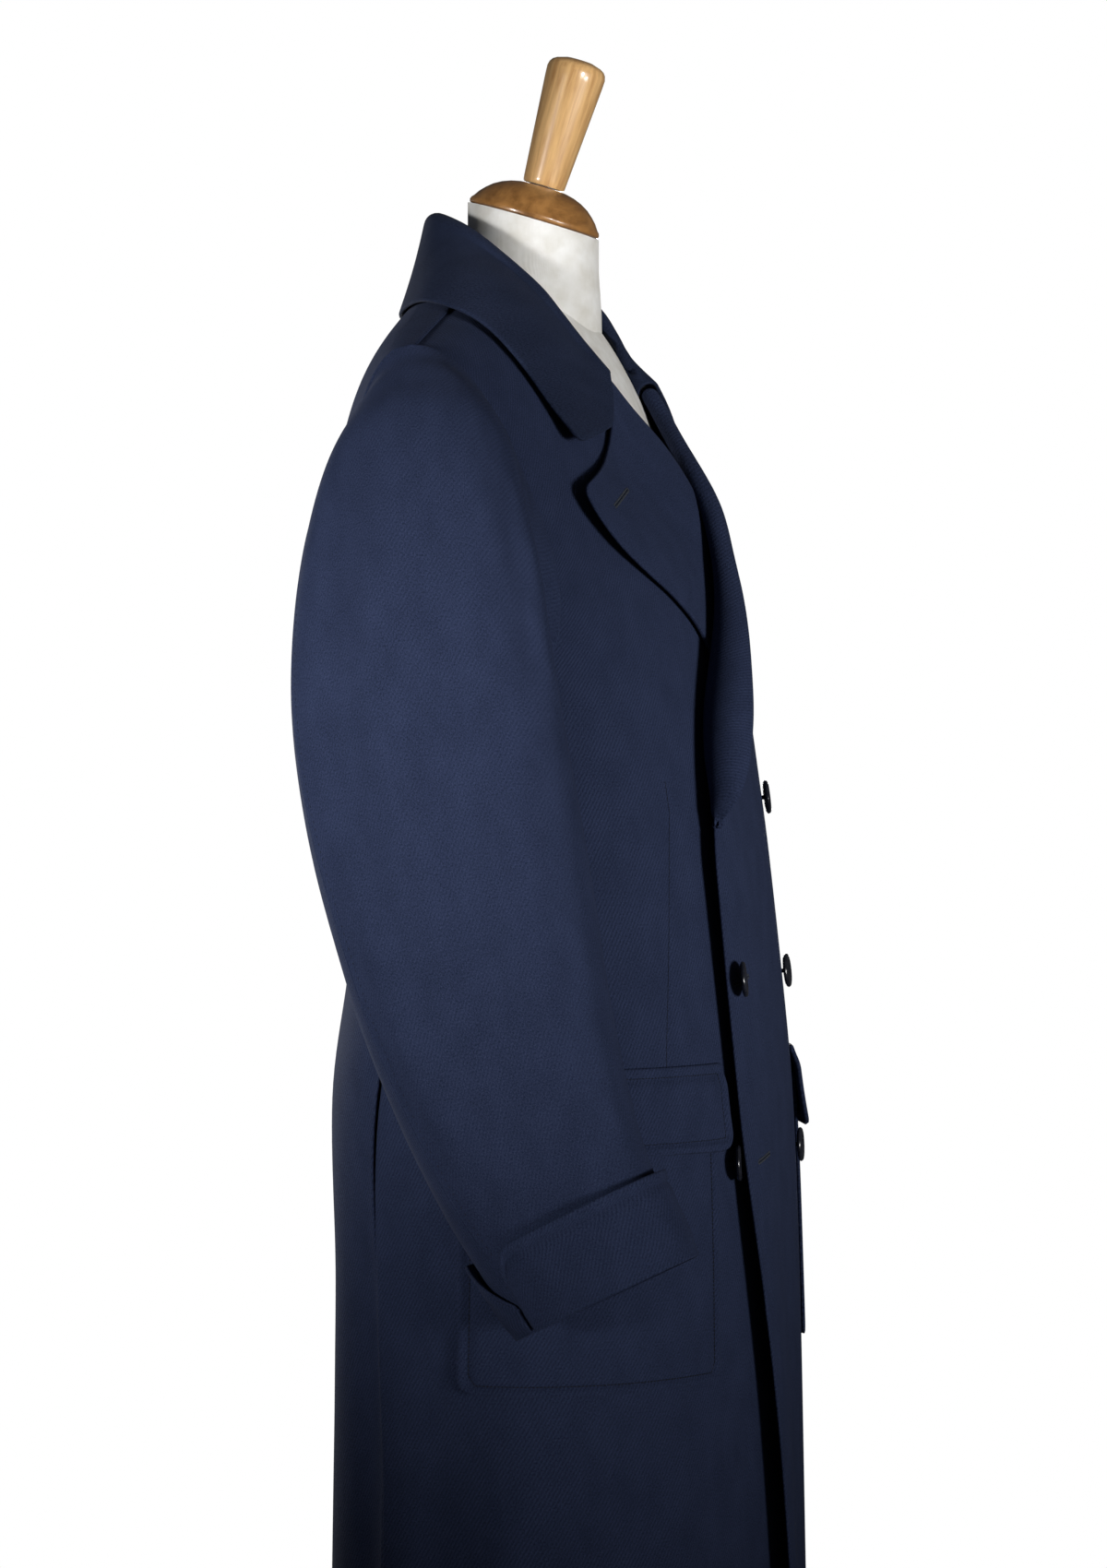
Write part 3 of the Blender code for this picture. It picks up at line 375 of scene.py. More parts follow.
# ---------------------------------------------------------------- cap, handle and stand
# The cap is a turned disc of varnished ash on the neck's cut, with a turned handle on top. A steel pole and a
# heavy round foot carry the form.
def wood_material(name, dark, light, stretch):
    """Varnished wood: its grain follows the tilted axis of the cap and handle."""
    material, tree, shader = new_material(name, 0.32)
    shader.inputs["Coat Weight"].default_value = 0.6
    shader.inputs["Coat Roughness"].default_value = 0.12
    place = add_node(tree, "ShaderNodeTexCoord")
    turn = add_node(tree, "ShaderNodeMapping", Location=(0, NECK_CENTRE_Y, NECK_TOP),
                    Rotation=(math.radians(NECK_TILT), 0, 0), Scale=stretch)
    turn.vector_type = "TEXTURE"
    grain = add_node(tree, "ShaderNodeTexNoise", Scale=1.0, Detail=8, Roughness=0.62, Distortion=0.4)
    wire(tree, place.outputs["Object"], turn.inputs["Vector"])
    wire(tree, turn.outputs["Vector"], grain.inputs["Vector"])
    wire(tree, colour_ramp(tree, grain.outputs["Fac"], dark, light, 0.30, 0.62), shader.inputs["Base Color"])
    add_bump(tree, shader, grain.outputs["Fac"], 0.12, 0.0004)
    return material


def metal_material():
    material, tree, shader = new_material("dark_metal", 0.45, 0.85)
    place = add_node(tree, "ShaderNodeTexCoord")
    cloud = add_node(tree, "ShaderNodeTexNoise", Scale=35, Detail=8)
    gloss = add_node(tree, "ShaderNodeMapRange", To_Min=0.32, To_Max=0.55)
    wire(tree, place.outputs["Object"], cloud.inputs["Vector"])
    wire(tree, cloud.outputs["Fac"], gloss.inputs["Value"])
    tone = colour_ramp(tree, cloud.outputs["Fac"], (0.035, 0.035, 0.040, 1), (0.075, 0.075, 0.080, 1))
    wire(tree, gloss.outputs["Result"], shader.inputs["Roughness"])
    wire(tree, tone, shader.inputs["Base Color"])
    return material


CAP_RADIUS = 0.0487
CAP_THICK = 0.0257
HANDLE_HEIGHT = 0.0945
HANDLE_FOOT_RADIUS = 0.0154
HANDLE_TOP_RADIUS = 0.0216
cap_wood = wood_material("cap_wood", (0.165, 0.067, 0.015, 1), (0.42, 0.200, 0.058, 1), (0.030, 0.012, 0.012))
handle_wood = wood_material("handle_wood", (0.46, 0.235, 0.082, 1), (0.72, 0.445, 0.190, 1), (0.004, 0.004, 0.09))
bm = turned([(0.0, CAP_THICK), (0.010, CAP_THICK - 0.0002), (0.018, CAP_THICK - 0.0008),
             (0.024, CAP_THICK - 0.0022), (0.030, CAP_THICK - 0.0045), (0.0355, CAP_THICK - 0.0077),
             (0.040, CAP_THICK - 0.0115), (0.0438, CAP_THICK - 0.0155), (0.0465, CAP_THICK - 0.0195),
             (CAP_RADIUS - 0.0006, 0.0045), (CAP_RADIUS, 0.0028), (CAP_RADIUS - 0.0005, 0.0010),
             (CAP_RADIUS - 0.002, 0.0), (0.0, 0.0)], 96)
bmesh.ops.transform(bm, matrix=cap_matrix(SEAM), verts=list(bm.verts))
cap = keep_mesh("neck_cap", bm, cap_wood)
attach(cap, "root")
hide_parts("form_neck_cap")

bm = turned([(0.0, HANDLE_HEIGHT), (0.010, HANDLE_HEIGHT - 0.0008), (0.0165, HANDLE_HEIGHT - 0.0028),
             (0.0192, HANDLE_HEIGHT - 0.0044), (0.0208, HANDLE_HEIGHT - 0.0066),
             (HANDLE_TOP_RADIUS, HANDLE_HEIGHT - 0.0098), (HANDLE_TOP_RADIUS - 0.0003, HANDLE_HEIGHT - 0.016),
             (HANDLE_FOOT_RADIUS + 0.0003, 0.004), (HANDLE_FOOT_RADIUS, 0.0012),
             (HANDLE_FOOT_RADIUS - 0.0008, 0.0), (0.0, 0.0)], 72)
bmesh.ops.transform(bm, matrix=cap_matrix(CAP_THICK + 2 * SEAM), verts=list(bm.verts))
handle = keep_mesh("handle", bm, handle_wood)
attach(handle, "root")
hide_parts("form_handle")

steel = metal_material()
for name in ("form_pole", "form_foot"):
    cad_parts[name].data.materials.clear()
    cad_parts[name].data.materials.append(steel)


# ---------------------------------------------------------------- the wool
# Heavy navy coating: a steep twill, milled and lightly brushed, so that its ribs show through a soft nap of
# lighter and darker blue fibres. Each piece carries its own grain in its flat cutting coordinates, in metres.
TWILL_LEAN = 58
TWILL_PITCH = 0.0025
NAVY = (0.0085, 0.0135, 0.033, 1), (0.040, 0.055, 0.120, 1)
# The collar's tones: the navy made darker as painted shade for its up-facing fall.
COLLAR_NAVY_SHADED = (0.0058, 0.0094, 0.0230, 1), (0.0275, 0.0385, 0.0820, 1)


def wool_group():
    """Twill ribs, mixed fibres and nap from flat coordinates: a colour and a height."""
    group = bpy.data.node_groups.new("milled_twill", "ShaderNodeTree")
    face = group.interface
    for title, kind, start in (("Vector", "NodeSocketVector", None), ("Ribs", "NodeSocketFloat", 1.0),
                               ("Pitch", "NodeSocketFloat", TWILL_PITCH), ("Dark", "NodeSocketColor", None),
                               ("Light", "NodeSocketColor", None)):
        socket = face.new_socket(name=title, in_out="INPUT", socket_type=kind)
        if start is not None:
            socket.default_value = start
    face.new_socket(name="Color", in_out="OUTPUT", socket_type="NodeSocketColor")
    face.new_socket(name="Height", in_out="OUTPUT", socket_type="NodeSocketFloat")
    given = add_node(group, "NodeGroupInput")
    result = add_node(group, "NodeGroupOutput")

    def math_node(operation, first, second, third=0.0):
        step = add_node(group, "ShaderNodeMath")
        step.operation = operation
        for socket, value in zip(step.inputs, (first, second, third)):
            if isinstance(value, (int, float)):
                socket.default_value = value
            else:
                wire(group, value, socket)
        return step.outputs["Value"]

    def noise_node(scale, detail, stretch):
        """Noise round zero, drawn out along the threads."""
        shape = add_node(group, "ShaderNodeMapping", Scale=stretch)
        cloud = add_node(group, "ShaderNodeTexNoise", Scale=scale, Detail=detail, Roughness=0.6)
        wire(group, given.outputs["Vector"], shape.inputs["Vector"])
        wire(group, shape.outputs["Vector"], cloud.inputs["Vector"])
        return math_node("SUBTRACT", cloud.outputs["Fac"], 0.5)

    lean = math.radians(TWILL_LEAN)
    slope = add_node(group, "ShaderNodeVectorMath")
    slope.operation = "DOT_PRODUCT"
    slope.inputs[1].default_value = (math.sin(lean), -math.cos(lean), 0)
    wire(group, given.outputs["Vector"], slope.inputs[0])
    fibres = noise_node(1150, 3, (1.0, 0.7, 1.0))
    hairs = noise_node(2600, 2, (0.8, 1.0, 1.0))
    patches = noise_node(48, 5, (1.0, 0.55, 1.0))
    turns = math_node("MULTIPLY", math_node("DIVIDE", slope.outputs["Value"], given.outputs["Pitch"]), math.tau)
    ribs = math_node("SINE", math_node("MULTIPLY_ADD", fibres, 2.2, turns), 0.0)
    bare = math_node("MULTIPLY_ADD", patches, 2.6, 0.85)
    bare.node.use_clamp = True
    ribs = math_node("MULTIPLY", math_node("MULTIPLY", ribs, bare), given.outputs["Ribs"])
    grain = math_node("MULTIPLY_ADD", fibres, 2.0, math_node("MULTIPLY", hairs, 1.6))
    tone = math_node("MULTIPLY_ADD", ribs, 0.17, grain)
    tone = math_node("MULTIPLY_ADD", patches, 0.5, tone)
    tone = math_node("ADD", tone, 0.5)
    tone.node.use_clamp = True
    height = math_node("MULTIPLY_ADD", ribs, 0.5, math_node("MULTIPLY", grain, 0.8))
    blend = add_node(group, "ShaderNodeMix")
    blend.data_type = "RGBA"
    wire(group, tone, blend.inputs["Factor"])
    wire(group, given.outputs["Dark"], blend.inputs["A"])
    wire(group, given.outputs["Light"], blend.inputs["B"])
    wire(group, blend.outputs["Result"], result.inputs["Color"])
    wire(group, height, result.inputs["Height"])
    return group


milled_twill = wool_group()


def wool_material(name, ribs, tones=NAVY):
    material, tree, shader = new_material(name, 0.88)
    shader.inputs["Specular IOR Level"].default_value = 0.10
    shader.inputs["Sheen Weight"].default_value = 0.03
    shader.inputs["Sheen Roughness"].default_value = 0.55
    shader.inputs["Sheen Tint"].default_value = (0.55, 0.62, 0.85, 1)
    flat = add_node(tree, "ShaderNodeUVMap")
    flat.uv_map = "flat"
    cloth = add_node(tree, "ShaderNodeGroup")
    cloth.node_tree = milled_twill
    cloth.inputs["Ribs"].default_value = ribs
    cloth.inputs["Dark"].default_value, cloth.inputs["Light"].default_value = tones
    wire(tree, flat.outputs["UV"], cloth.inputs["Vector"])
    wire(tree, cloth.outputs["Color"], shader.inputs["Base Color"])
    add_bump(tree, shader, cloth.outputs["Height"], 0.55, 0.00022)
    return material


wool = wool_material("navy_wool", 1.0)
brushed_wool = wool_material("navy_wool_brushed", 0.25)


def crowded(t, amount):
    """Draw the rows of a cut closer together towards both of its ends."""
    return t - amount * math.sin(math.tau * t) / math.tau


def gathered(t, centre, reach):
    """Draw the rows within reach of a line closer to it."""
    off = (t - centre) / reach
    return t if abs(off) > 1 else centre + reach * power(off, 1.8)


def cut_cloth(name, columns, rows, surface, relief, outward, material, grain=0.0, crowd=(0.6, 0.4),
              thickness=CLOTH, rightward=1, flat_place=None, line=None):
    """One cut piece: laid by surface(u, v), pressed by relief(u, v) and given its wall and soft edges."""
    bm = bmesh.new()
    bmesh.ops.create_grid(bm, x_segments=columns, y_segments=rows, size=0.5)
    spots = {}
    for vert in bm.verts:
        column = round((vert.co.x + 0.5) * columns)
        row = round((vert.co.y + 0.5) * rows)
        spots[column, row] = vert
    across_at = [column / columns for column in range(columns + 1)]
    if line:
        across_at = [gathered(t, line / columns, 3.5 / columns) for t in across_at]
    across_at = [crowded(t, crowd[0]) for t in across_at]
    down_at = [crowded(row / rows, crowd[1]) for row in range(rows + 1)]
    for (column, row), vert in spots.items():
        vert.co = surface(across_at[column], down_at[row])
    if outward < 0:
        bmesh.ops.reverse_faces(bm, faces=list(bm.faces))
    bm.normal_update()
    pressed = {}
    for (column, row), vert in spots.items():
        height = relief(across_at[column], down_at[row])
        pressed[vert] = vert.co + vert.normal * height
    for vert, place in pressed.items():
        vert.co = place
    flat = {}
    middle = columns // 2
    down = 0.0
    turn = math.radians(grain)
    for row in range(rows + 1):
        if row:
            down += (spots[middle, row].co - spots[middle, row - 1].co).length
        across = [0.0]
        for column in range(columns):
            across.append(across[-1] + (spots[column + 1, row].co - spots[column, row].co).length)
        for column in range(columns + 1):
            s, t = (across[column] - across[middle]) * rightward, -down
            if flat_place:
                s, t = flat_place(across_at[column], down_at[row])
            flat[spots[column, row]] = (s * math.cos(turn) - t * math.sin(turn),
                                        s * math.sin(turn) + t * math.cos(turn))
    sheet_uv = bm.loops.layers.uv.new("flat")
    for face in bm.faces:
        for loop in face.loops:
            loop[sheet_uv].uv = flat[loop.vert]
    piece = keep_mesh(name, bm, material, 180)
    wall = piece.modifiers.new("wall", "SOLIDIFY")
    wall.thickness = thickness
    wall.offset = -1
    soft = piece.modifiers.new("soft", "SUBSURF")
    soft.levels = 1
    soft.render_levels = 1
    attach(piece, "root")
    return piece


def ridge(s, t, line):
    """The height at (s, t) of one soft ridge or trough: its two ends, half width, height and bow."""
    s0, t0, s1, t1, half_width, height, bow = line
    reach = math.hypot(s1 - s0, t1 - t0)
    along = ((s - s0) * (s1 - s0) + (t - t0) * (t1 - t0)) / reach ** 2
    if along <= 0 or along >= 1:
        return 0.0
    off = ((s - s0) * (t1 - t0) - (t - t0) * (s1 - s0)) / reach - bow * 4 * along * (1 - along)
    return height * math.exp(-(off / half_width) ** 2) * smooth(along / 0.35) * smooth((1 - along) / 0.35)


# ---------------------------------------------------------------- the backs
# Two panels seamed down the centre back and round to the side seams, hanging free below the shoulder blades.
NECK_HALF_WIDTH = 0.078
NECK_DEPTH = 0.0525
ARMHOLE_ROWS = [          # clock (0 at the shoulder point, 180 at the underarm), front_x, back_x
    (0, 0.213, 0.213),
    (45, 0.198, 0.206),
    (90, 0.189, 0.200),
    (135, 0.194, 0.201),
    (180, 0.2127, 0.2127),
]
SIDE_SEAM_ROWS = [        # level, angle
    (0.350, 112.0),
    (0.640, 112.0),
    (0.860, 116.0),
    (1.050, 106.0),
    (1.195, 90.0),
]
SEAM_LAP = 0.0010         # the rounded edges of two pieces meet over a seam
SKIRT_RADIUS = 0.2        # turns a width along the skirt into an angle
FOLD_RADIUS = 0.24        # turns a fold's angle into a place along the skirt
BACK_WIDTH = 0.20         # about a panel's width, to place the groove beside its seams
FRONT_WIDTH = 0.47
SHOULDER_LAP = 0.0016
ARMHOLE_SHARE = 0.48      # share of a panel's rows that end on the armhole
BACK_NECK_SHARE = 0.55    # share of a back's columns that start on the shoulder
HANGING_FOLDS = [         # angle and level of its two ends, half width, height and bow
    (118, 0.95, 122, 0.30, 0.030, 0.0045, 0.006),
    (134, 1.02, 140, 0.28, 0.034, -0.0050, -0.004),
    (152, 1.05, 155, 0.30, 0.036, 0.0050, 0.004),
    (168, 0.98, 170, 0.28, 0.026, -0.0040, 0.0),
    (96, 0.86, 99, 0.26, 0.028, -0.0035, 0.004),
    (78, 0.90, 80, 0.28, 0.032, 0.0035, -0.005),
    (58, 0.74, 60, 0.26, 0.030, -0.0030, 0.003),
    (38, 0.80, 38, 0.26, 0.034, 0.0032, 0.004),
]


def hang(angle, level):
    """How far the skirt's soft folds stand off the smooth body surface."""
    side_shift = 0.035 if angle < 0 else 0.0
    s, t = math.radians(abs(angle)) * FOLD_RADIUS, level + side_shift
    total = 0.0
    for angle_0, level_0, angle_1, level_1, *form in HANGING_FOLDS:
        total += ridge(s, t, (math.radians(angle_0) * FOLD_RADIUS, level_0,
                              math.radians(angle_1) * FOLD_RADIUS, level_1, *form))
    return total * smooth((1.15 - level) / 0.2)


def angle_of(x, level, behind=False):
    """The angle where the body surface is x from the centre plane."""
    half_width, _, _, _, squareness = row_at(BODY_ROWS, level)
    if behind:
        squareness = BACK_SQUARENESS
    turn = math.degrees(math.asin(min(1.0, abs(x) / half_width) ** (squareness / 2)))
    return math.copysign(180 - turn if behind else turn, x)


def side_seam(level, away):
    """The side seam's angle, moved a little to one side of it."""
    return row_at(SIDE_SEAM_ROWS, level)[0] + away * math.degrees(SEAM_LAP / SKIRT_RADIUS)


def falling(v):
    """Rows lie close together over the shoulder and at the hem."""
    return crowded(v, 0.45) ** 1.6


def side_edge(v, behind):
    """Angle and level of a panel's outer edge: round the armhole from the shoulder, then down the side."""
    if v < ARMHOLE_SHARE:
        clock = 180 * v / ARMHOLE_SHARE
        middle = (TOP + UNDERARM) / 2
        level = middle + (TOP - middle) * math.cos(math.radians(clock))
        return angle_of(row_at(ARMHOLE_ROWS, clock)[1 if behind else 0], level, behind), level
    down = (v - ARMHOLE_SHARE) / (1 - ARMHOLE_SHARE)
    level = mix(UNDERARM, HEM, down * (1.25 - 0.25 * down))
    return side_seam(level, -1 if behind else 1), level


def neckline_place(turn):
    """Angle and level of a point of the back neck, from the neck point (0) to the centre back (90)."""
    depth = NECK_DEPTH * math.sin(math.radians(turn))
    _, _, back, side_line, _ = row_at(BODY_ROWS, TOP)
    start, roundness = BLADE_ROUNDING
    share = depth / (back - side_line)
    level = start + (TOP - start) * (1 - share ** roundness) ** (1 / roundness)
    return angle_of(max(0.0001, NECK_HALF_WIDTH * math.cos(math.radians(turn))), level, behind=True), level


def back_angle(side, u, v):
    """Angle and level of a place on a back: u from the side (0) to the centre back (1)."""
    outer_angle, outer_level = side_edge(v, behind=True)
    centre = 180 + math.degrees(0.5 * SEAM_LAP / SKIRT_RADIUS)
    neck_level = neckline_place(90)[1]
    angle = mix(outer_angle, centre, u)
    level = mix(outer_level, mix(neck_level, HEM, falling(v)), u)
    if v < 0.25:
        if u < BACK_NECK_SHARE:
            x = mix(ARMHOLE_ROWS[0][2], NECK_HALF_WIDTH, u / BACK_NECK_SHARE)
            top_angle, top_level = angle_of(x, TOP, behind=True), TOP
        else:
            top_angle, top_level = neckline_place(90 * (u - BACK_NECK_SHARE) / (1 - BACK_NECK_SHARE))
        shoulder_angle = side_edge(0, behind=True)[0]
        fade = (1 - v / 0.25) ** 3
        angle += (top_angle - mix(shoulder_angle, centre, u)) * fade
        level += (top_level - mix(TOP, neck_level, u)) * fade
    return side * angle, level


girths = {}


def girth(angle, level):
    """The way round the body from the centre front to an angle, and down from the shoulder to a level."""
    key = round(level, 2)
    if key not in girths:
        marks = [body_point(turn, key) for turn in range(0, 184, 4)]
        total = [0.0]
        for first, second in zip(marks, marks[1:]):
            total.append(total[-1] + math.hypot(second.x - first.x, second.y - first.y))
        girths[key] = total
    steps = min(44.99, abs(angle) / 4)
    total = girths[key]
    reach = mix(total[int(steps)], total[int(steps) + 1], steps % 1)
    fall = (TOP - level) + 0.11 * math.sqrt(max(0.0, min(1.0, (TOP - level) / 0.2)))
    return math.copysign(reach, angle), -fall


def groove(distance, depth=0.0009, half_width=0.0028):
    """The dip of the cloth beside a seam."""
    return -depth * math.exp(-(distance / half_width) ** 2)


def body_flat(panel_angle, side):
    return lambda u, v: girth(*panel_angle(side, u, v))


def back_surface(side):
    def surface(u, v):
        angle, level = back_angle(side, u, v)
        lap = SHOULDER_LAP * smooth((level - TOP + 0.004) / 0.004)
        return body_point(angle, level) + Vector((0, -lap, 0))
    return surface


def back_relief(side):
    def relief(u, v):
        angle, level = back_angle(side, u, v)
        below = smooth((1.19 - level) / 0.05)
        return hang(angle, level) + groove((1 - u) * BACK_WIDTH) + groove(u * BACK_WIDTH) * below
    return relief


for side, word in SIDES:
    back = cut_cloth("coat_back_" + word, 36, 124, back_surface(side), back_relief(side), side, wool,
                     flat_place=body_flat(back_angle, side), crowd=(0.5, 0.5))
    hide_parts("back_" + word)


# ---------------------------------------------------------------- the fronts
# Two panels from the shoulder to the hem, the left one lapped over the right one and buttoned.
EDGE_ROWS = [             # level, over_x and under_x: reach of the left and right front past the centre
    (0.350, 0.020, 0.080),
    (0.520, 0.036, 0.084),
    (0.670, 0.058, 0.088),
    (0.820, 0.086, 0.092),
    (0.900, 0.095, 0.095),
    (1.095, 0.097, 0.095),
]
EDGE_LIFT_ROWS = [        # level, how far the left front's free edge stands off below the break
    (0.350, 0.0100),
    (0.570, 0.0090),
    (0.780, 0.0058),
    (0.910, 0.0012),
    (0.990, 0.0016),
    (1.095, 0.0040),
]
EDGE_LIFT_WIDTH = 0.075
OVERLAP_START = 0.125
OVERLAP_RISE = 0.011
UNDERLAP_SINK = 0.0035
ROLL_REACH = 0.140
ROLL_RISE_ROWS = [        # level, rise of the left front along its roll line over the right lapel
    (1.095, 0.0120),
    (1.140, 0.0070),
    (1.180, 0.0045),
    (1.220, 0.0085),
    (1.255, 0.0125),
    (1.290, 0.0145),
    (1.325, 0.0130),
    (1.380, 0.0040),
    (1.430, 0.0000),
]
ROLL_TOP_X = NECK_HALF_WIDTH
ROLL_BOW = 0.012
DART_COLUMN = 40
DART_LEVELS = (0.925, 1.140)
EDGE_STITCH = 0.0075      # the doubled edge is sewn down this far in
EDGE_GROOVE = (0.0006, 0.0024)   # depth and half width
DART_GROOVE = (0.0013, 0.0026)


def roll_x(level):
    """The roll line of a lapel: from the break up to the neck, past the centre below, bowed out at the gorge."""
    bow = ROLL_BOW * smooth((level - 1.345) / 0.07) * smooth((TOP - level) / 0.06)
    return mix(-row_at(EDGE_ROWS, BREAK)[0], ROLL_TOP_X, (level - BREAK) / (TOP - BREAK)) + bow


def front_rise(side, x, level):
    """How far a front lies off the body surface where the fronts overlap; x grows to its own side."""
    if side == RIGHT:
        return -UNDERLAP_SINK * smooth((-0.015 - x) / 0.06)
    reach = OVERLAP_START + row_at(EDGE_ROWS, BREAK)[0]
    rise = OVERLAP_RISE * smooth((OVERLAP_START - x) / reach)
    in_from_edge = (x + row_at(EDGE_ROWS, level)[0]) / EDGE_LIFT_WIDTH
    rise += row_at(EDGE_LIFT_ROWS, level)[0] * (1 - smooth(in_from_edge))
    if level > BREAK:
        past_roll = (x - roll_x(level)) / ROLL_REACH
        roll_rise = row_at(ROLL_RISE_ROWS, level)[0] * (1 - smooth(past_roll))
        rise = mix(rise, roll_rise, smooth((level - BREAK) / 0.06))
    return rise


def front_place(side, x, level, out=0.0):
    """A point on or off a front, with x growing to its own side, and the way out of it."""
    angle = side * angle_of(x, level)
    normal = body_normal(angle, level)
    return body_point(angle, level) + normal * (front_rise(side, x, level) + out), normal


def front_angle(side, u, v):
    """Angle and level of a place on a front: u from its roll line or free edge (0) to the side (1)."""
    outer_angle, outer_level = side_edge(v, behind=False)
    inner_level = mix(TOP, HEM, falling(v))
    if inner_level > BREAK:
        inner_angle = angle_of(roll_x(inner_level), inner_level)
    else:
        inner_angle = angle_of(-row_at(EDGE_ROWS, inner_level)[0 if side == LEFT else 1], inner_level)
    return side * mix(inner_angle, outer_angle, u), mix(inner_level, outer_level, u)


FRONT_COLUMNS = 84
FRONT_CROWD = 0.4


def front_surface(side):
    def surface(u, v):
        angle, level = front_angle(side, u, v)
        point = body_point(angle, level)
        lap = SHOULDER_LAP * smooth((level - TOP + 0.004) / 0.004)
        rise = front_rise(side, side * point.x, level) if abs(angle) < 90 else 0.0
        return point + body_normal(angle, level) * rise + Vector((0, lap, 0))
    return surface


def front_relief(side):
    dart_u = crowded(DART_COLUMN / FRONT_COLUMNS, FRONT_CROWD)

    def relief(u, v):
        angle, level = front_angle(side, u, v)
        below = smooth((1.18 - level) / 0.06)
        low, high = DART_LEVELS
        taper = smooth((high - level) / 0.05) * smooth((level - low) / 0.02)
        dart = groove((u - dart_u) * FRONT_WIDTH, *DART_GROOVE) * taper
        edge = groove(u * FRONT_WIDTH - EDGE_STITCH, *EDGE_GROOVE) * smooth((BREAK - level) / 0.02)
        return hang(angle, level) + groove((1 - u) * FRONT_WIDTH) * below + dart + edge
    return relief


fronts = {}
for side, word in SIDES:
    front = cut_cloth("coat_front_" + word, FRONT_COLUMNS, 118, front_surface(side), front_relief(side), -side,
                      wool, flat_place=body_flat(front_angle, side), crowd=(FRONT_CROWD, 0.5), line=DART_COLUMN)
    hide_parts("front_" + word)
    fronts[side] = front


# ---------------------------------------------------------------- the sewing of the darts
# A long dart from the chest to the pocket flap shapes each front. Its seam, like every seam and edge below, is sewn
# with navy thread. The thread is coloured darker than the wool, so the rows also paint the shade that lies along the
# seams and edges.
ROUTE_MARKS = 60
SEAT_REACH = 0.02         # how far off the cloth a place may start and still be seated on it
DART_SEWING = (0.0021, 0.0012, 0.0004)   # pitch, and half length and half width of a stitch


def thread_material(name, dark, light):
    """Twisted thread: light and dark strands across its length."""
    material, tree, shader = new_material(name, 0.7)
    shader.inputs["Specular IOR Level"].default_value = 0.25
    place = add_node(tree, "ShaderNodeTexCoord")
    twist = add_node(tree, "ShaderNodeTexWave", Scale=900, Distortion=1.5)
    twist.bands_direction = "DIAGONAL"
    wire(tree, place.outputs["Object"], twist.inputs["Vector"])
    wire(tree, colour_ramp(tree, twist.outputs["Fac"], dark, light), shader.inputs["Base Color"])
    add_bump(tree, shader, twist.outputs["Fac"], 0.3, 0.0001)
    return material


# Partly painted shade: this thread is darker than the wool and also stands in for the shade along seams and edges.
navy_thread_and_seam_shade = thread_material("navy_thread_and_seam_shade", (0.004, 0.006, 0.012, 1), (0.012, 0.016, 0.030, 1))
pale_thread = thread_material("pale_thread", (0.024, 0.029, 0.040, 1), (0.062, 0.070, 0.086, 1))


def seated(piece, point, normal):
    """The place on a finished piece under a point beside it, and the way out there."""
    solid = piece.evaluated_get(bpy.context.evaluated_depsgraph_get())
    found, place, way, _ = solid.ray_cast(point + normal * SEAT_REACH, -normal)
    return (place, way) if found else (point, normal)


def add_stitch(bm, place, along, normal, half_length, half_width):
    """One stitch: a small rounded body lying half sunk along a seam."""
    along = (along - normal * along.dot(normal)).normalized()
    across = normal.cross(along)
    lie = Matrix((along * half_length, across * half_width, normal * half_width * 0.8)).transposed().to_4x4()
    lie.translation = place
    bmesh.ops.create_icosphere(bm, subdivisions=1, radius=1.0, matrix=lie)


def sewn_row(name, piece, route, pitch, half_length, half_width=0.00035):
    """Stitches a pitch apart along route(t), t from 0 to 1, seated on a piece."""
    marks = [seated(piece, *route(k / ROUTE_MARKS)) for k in range(ROUTE_MARKS + 1)]
    bm = bmesh.new()
    due = pitch / 2
    for (start, normal), (end, _) in zip(marks, marks[1:]):
        span = (end - start).length
        while due < span:
            add_stitch(bm, start.lerp(end, due / span), end - start, normal, half_length, half_width)
            due += pitch
        due -= span
    row = keep_mesh(name, bm, navy_thread_and_seam_shade, 180)
    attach(row, "root")
    return row


def front_row(side, u, level):
    """The v of a front where its column u passes a level."""
    low, high = 0.0, 1.0
    for _ in range(20):
        middle = (low + high) / 2
        if front_angle(side, u, middle)[1] > level:
            low = middle
        else:
            high = middle
    return low


def dart_route(side):
    dart_u = crowded(DART_COLUMN / FRONT_COLUMNS, FRONT_CROWD)
    first = front_row(side, dart_u, DART_LEVELS[1] - 0.008)
    last = front_row(side, dart_u, DART_LEVELS[0] + 0.008)

    def route(t):
        angle, level = front_angle(side, dart_u, mix(first, last, t))
        return body_point(angle, level), body_normal(angle, level)
    return route


# The dart's row of dark stitches is partly a painted shadow for the shade in its crease.
for side, word in SIDES:
    sewn_row("dart_seam_" + word, fronts[side], dart_route(side), *DART_SEWING)


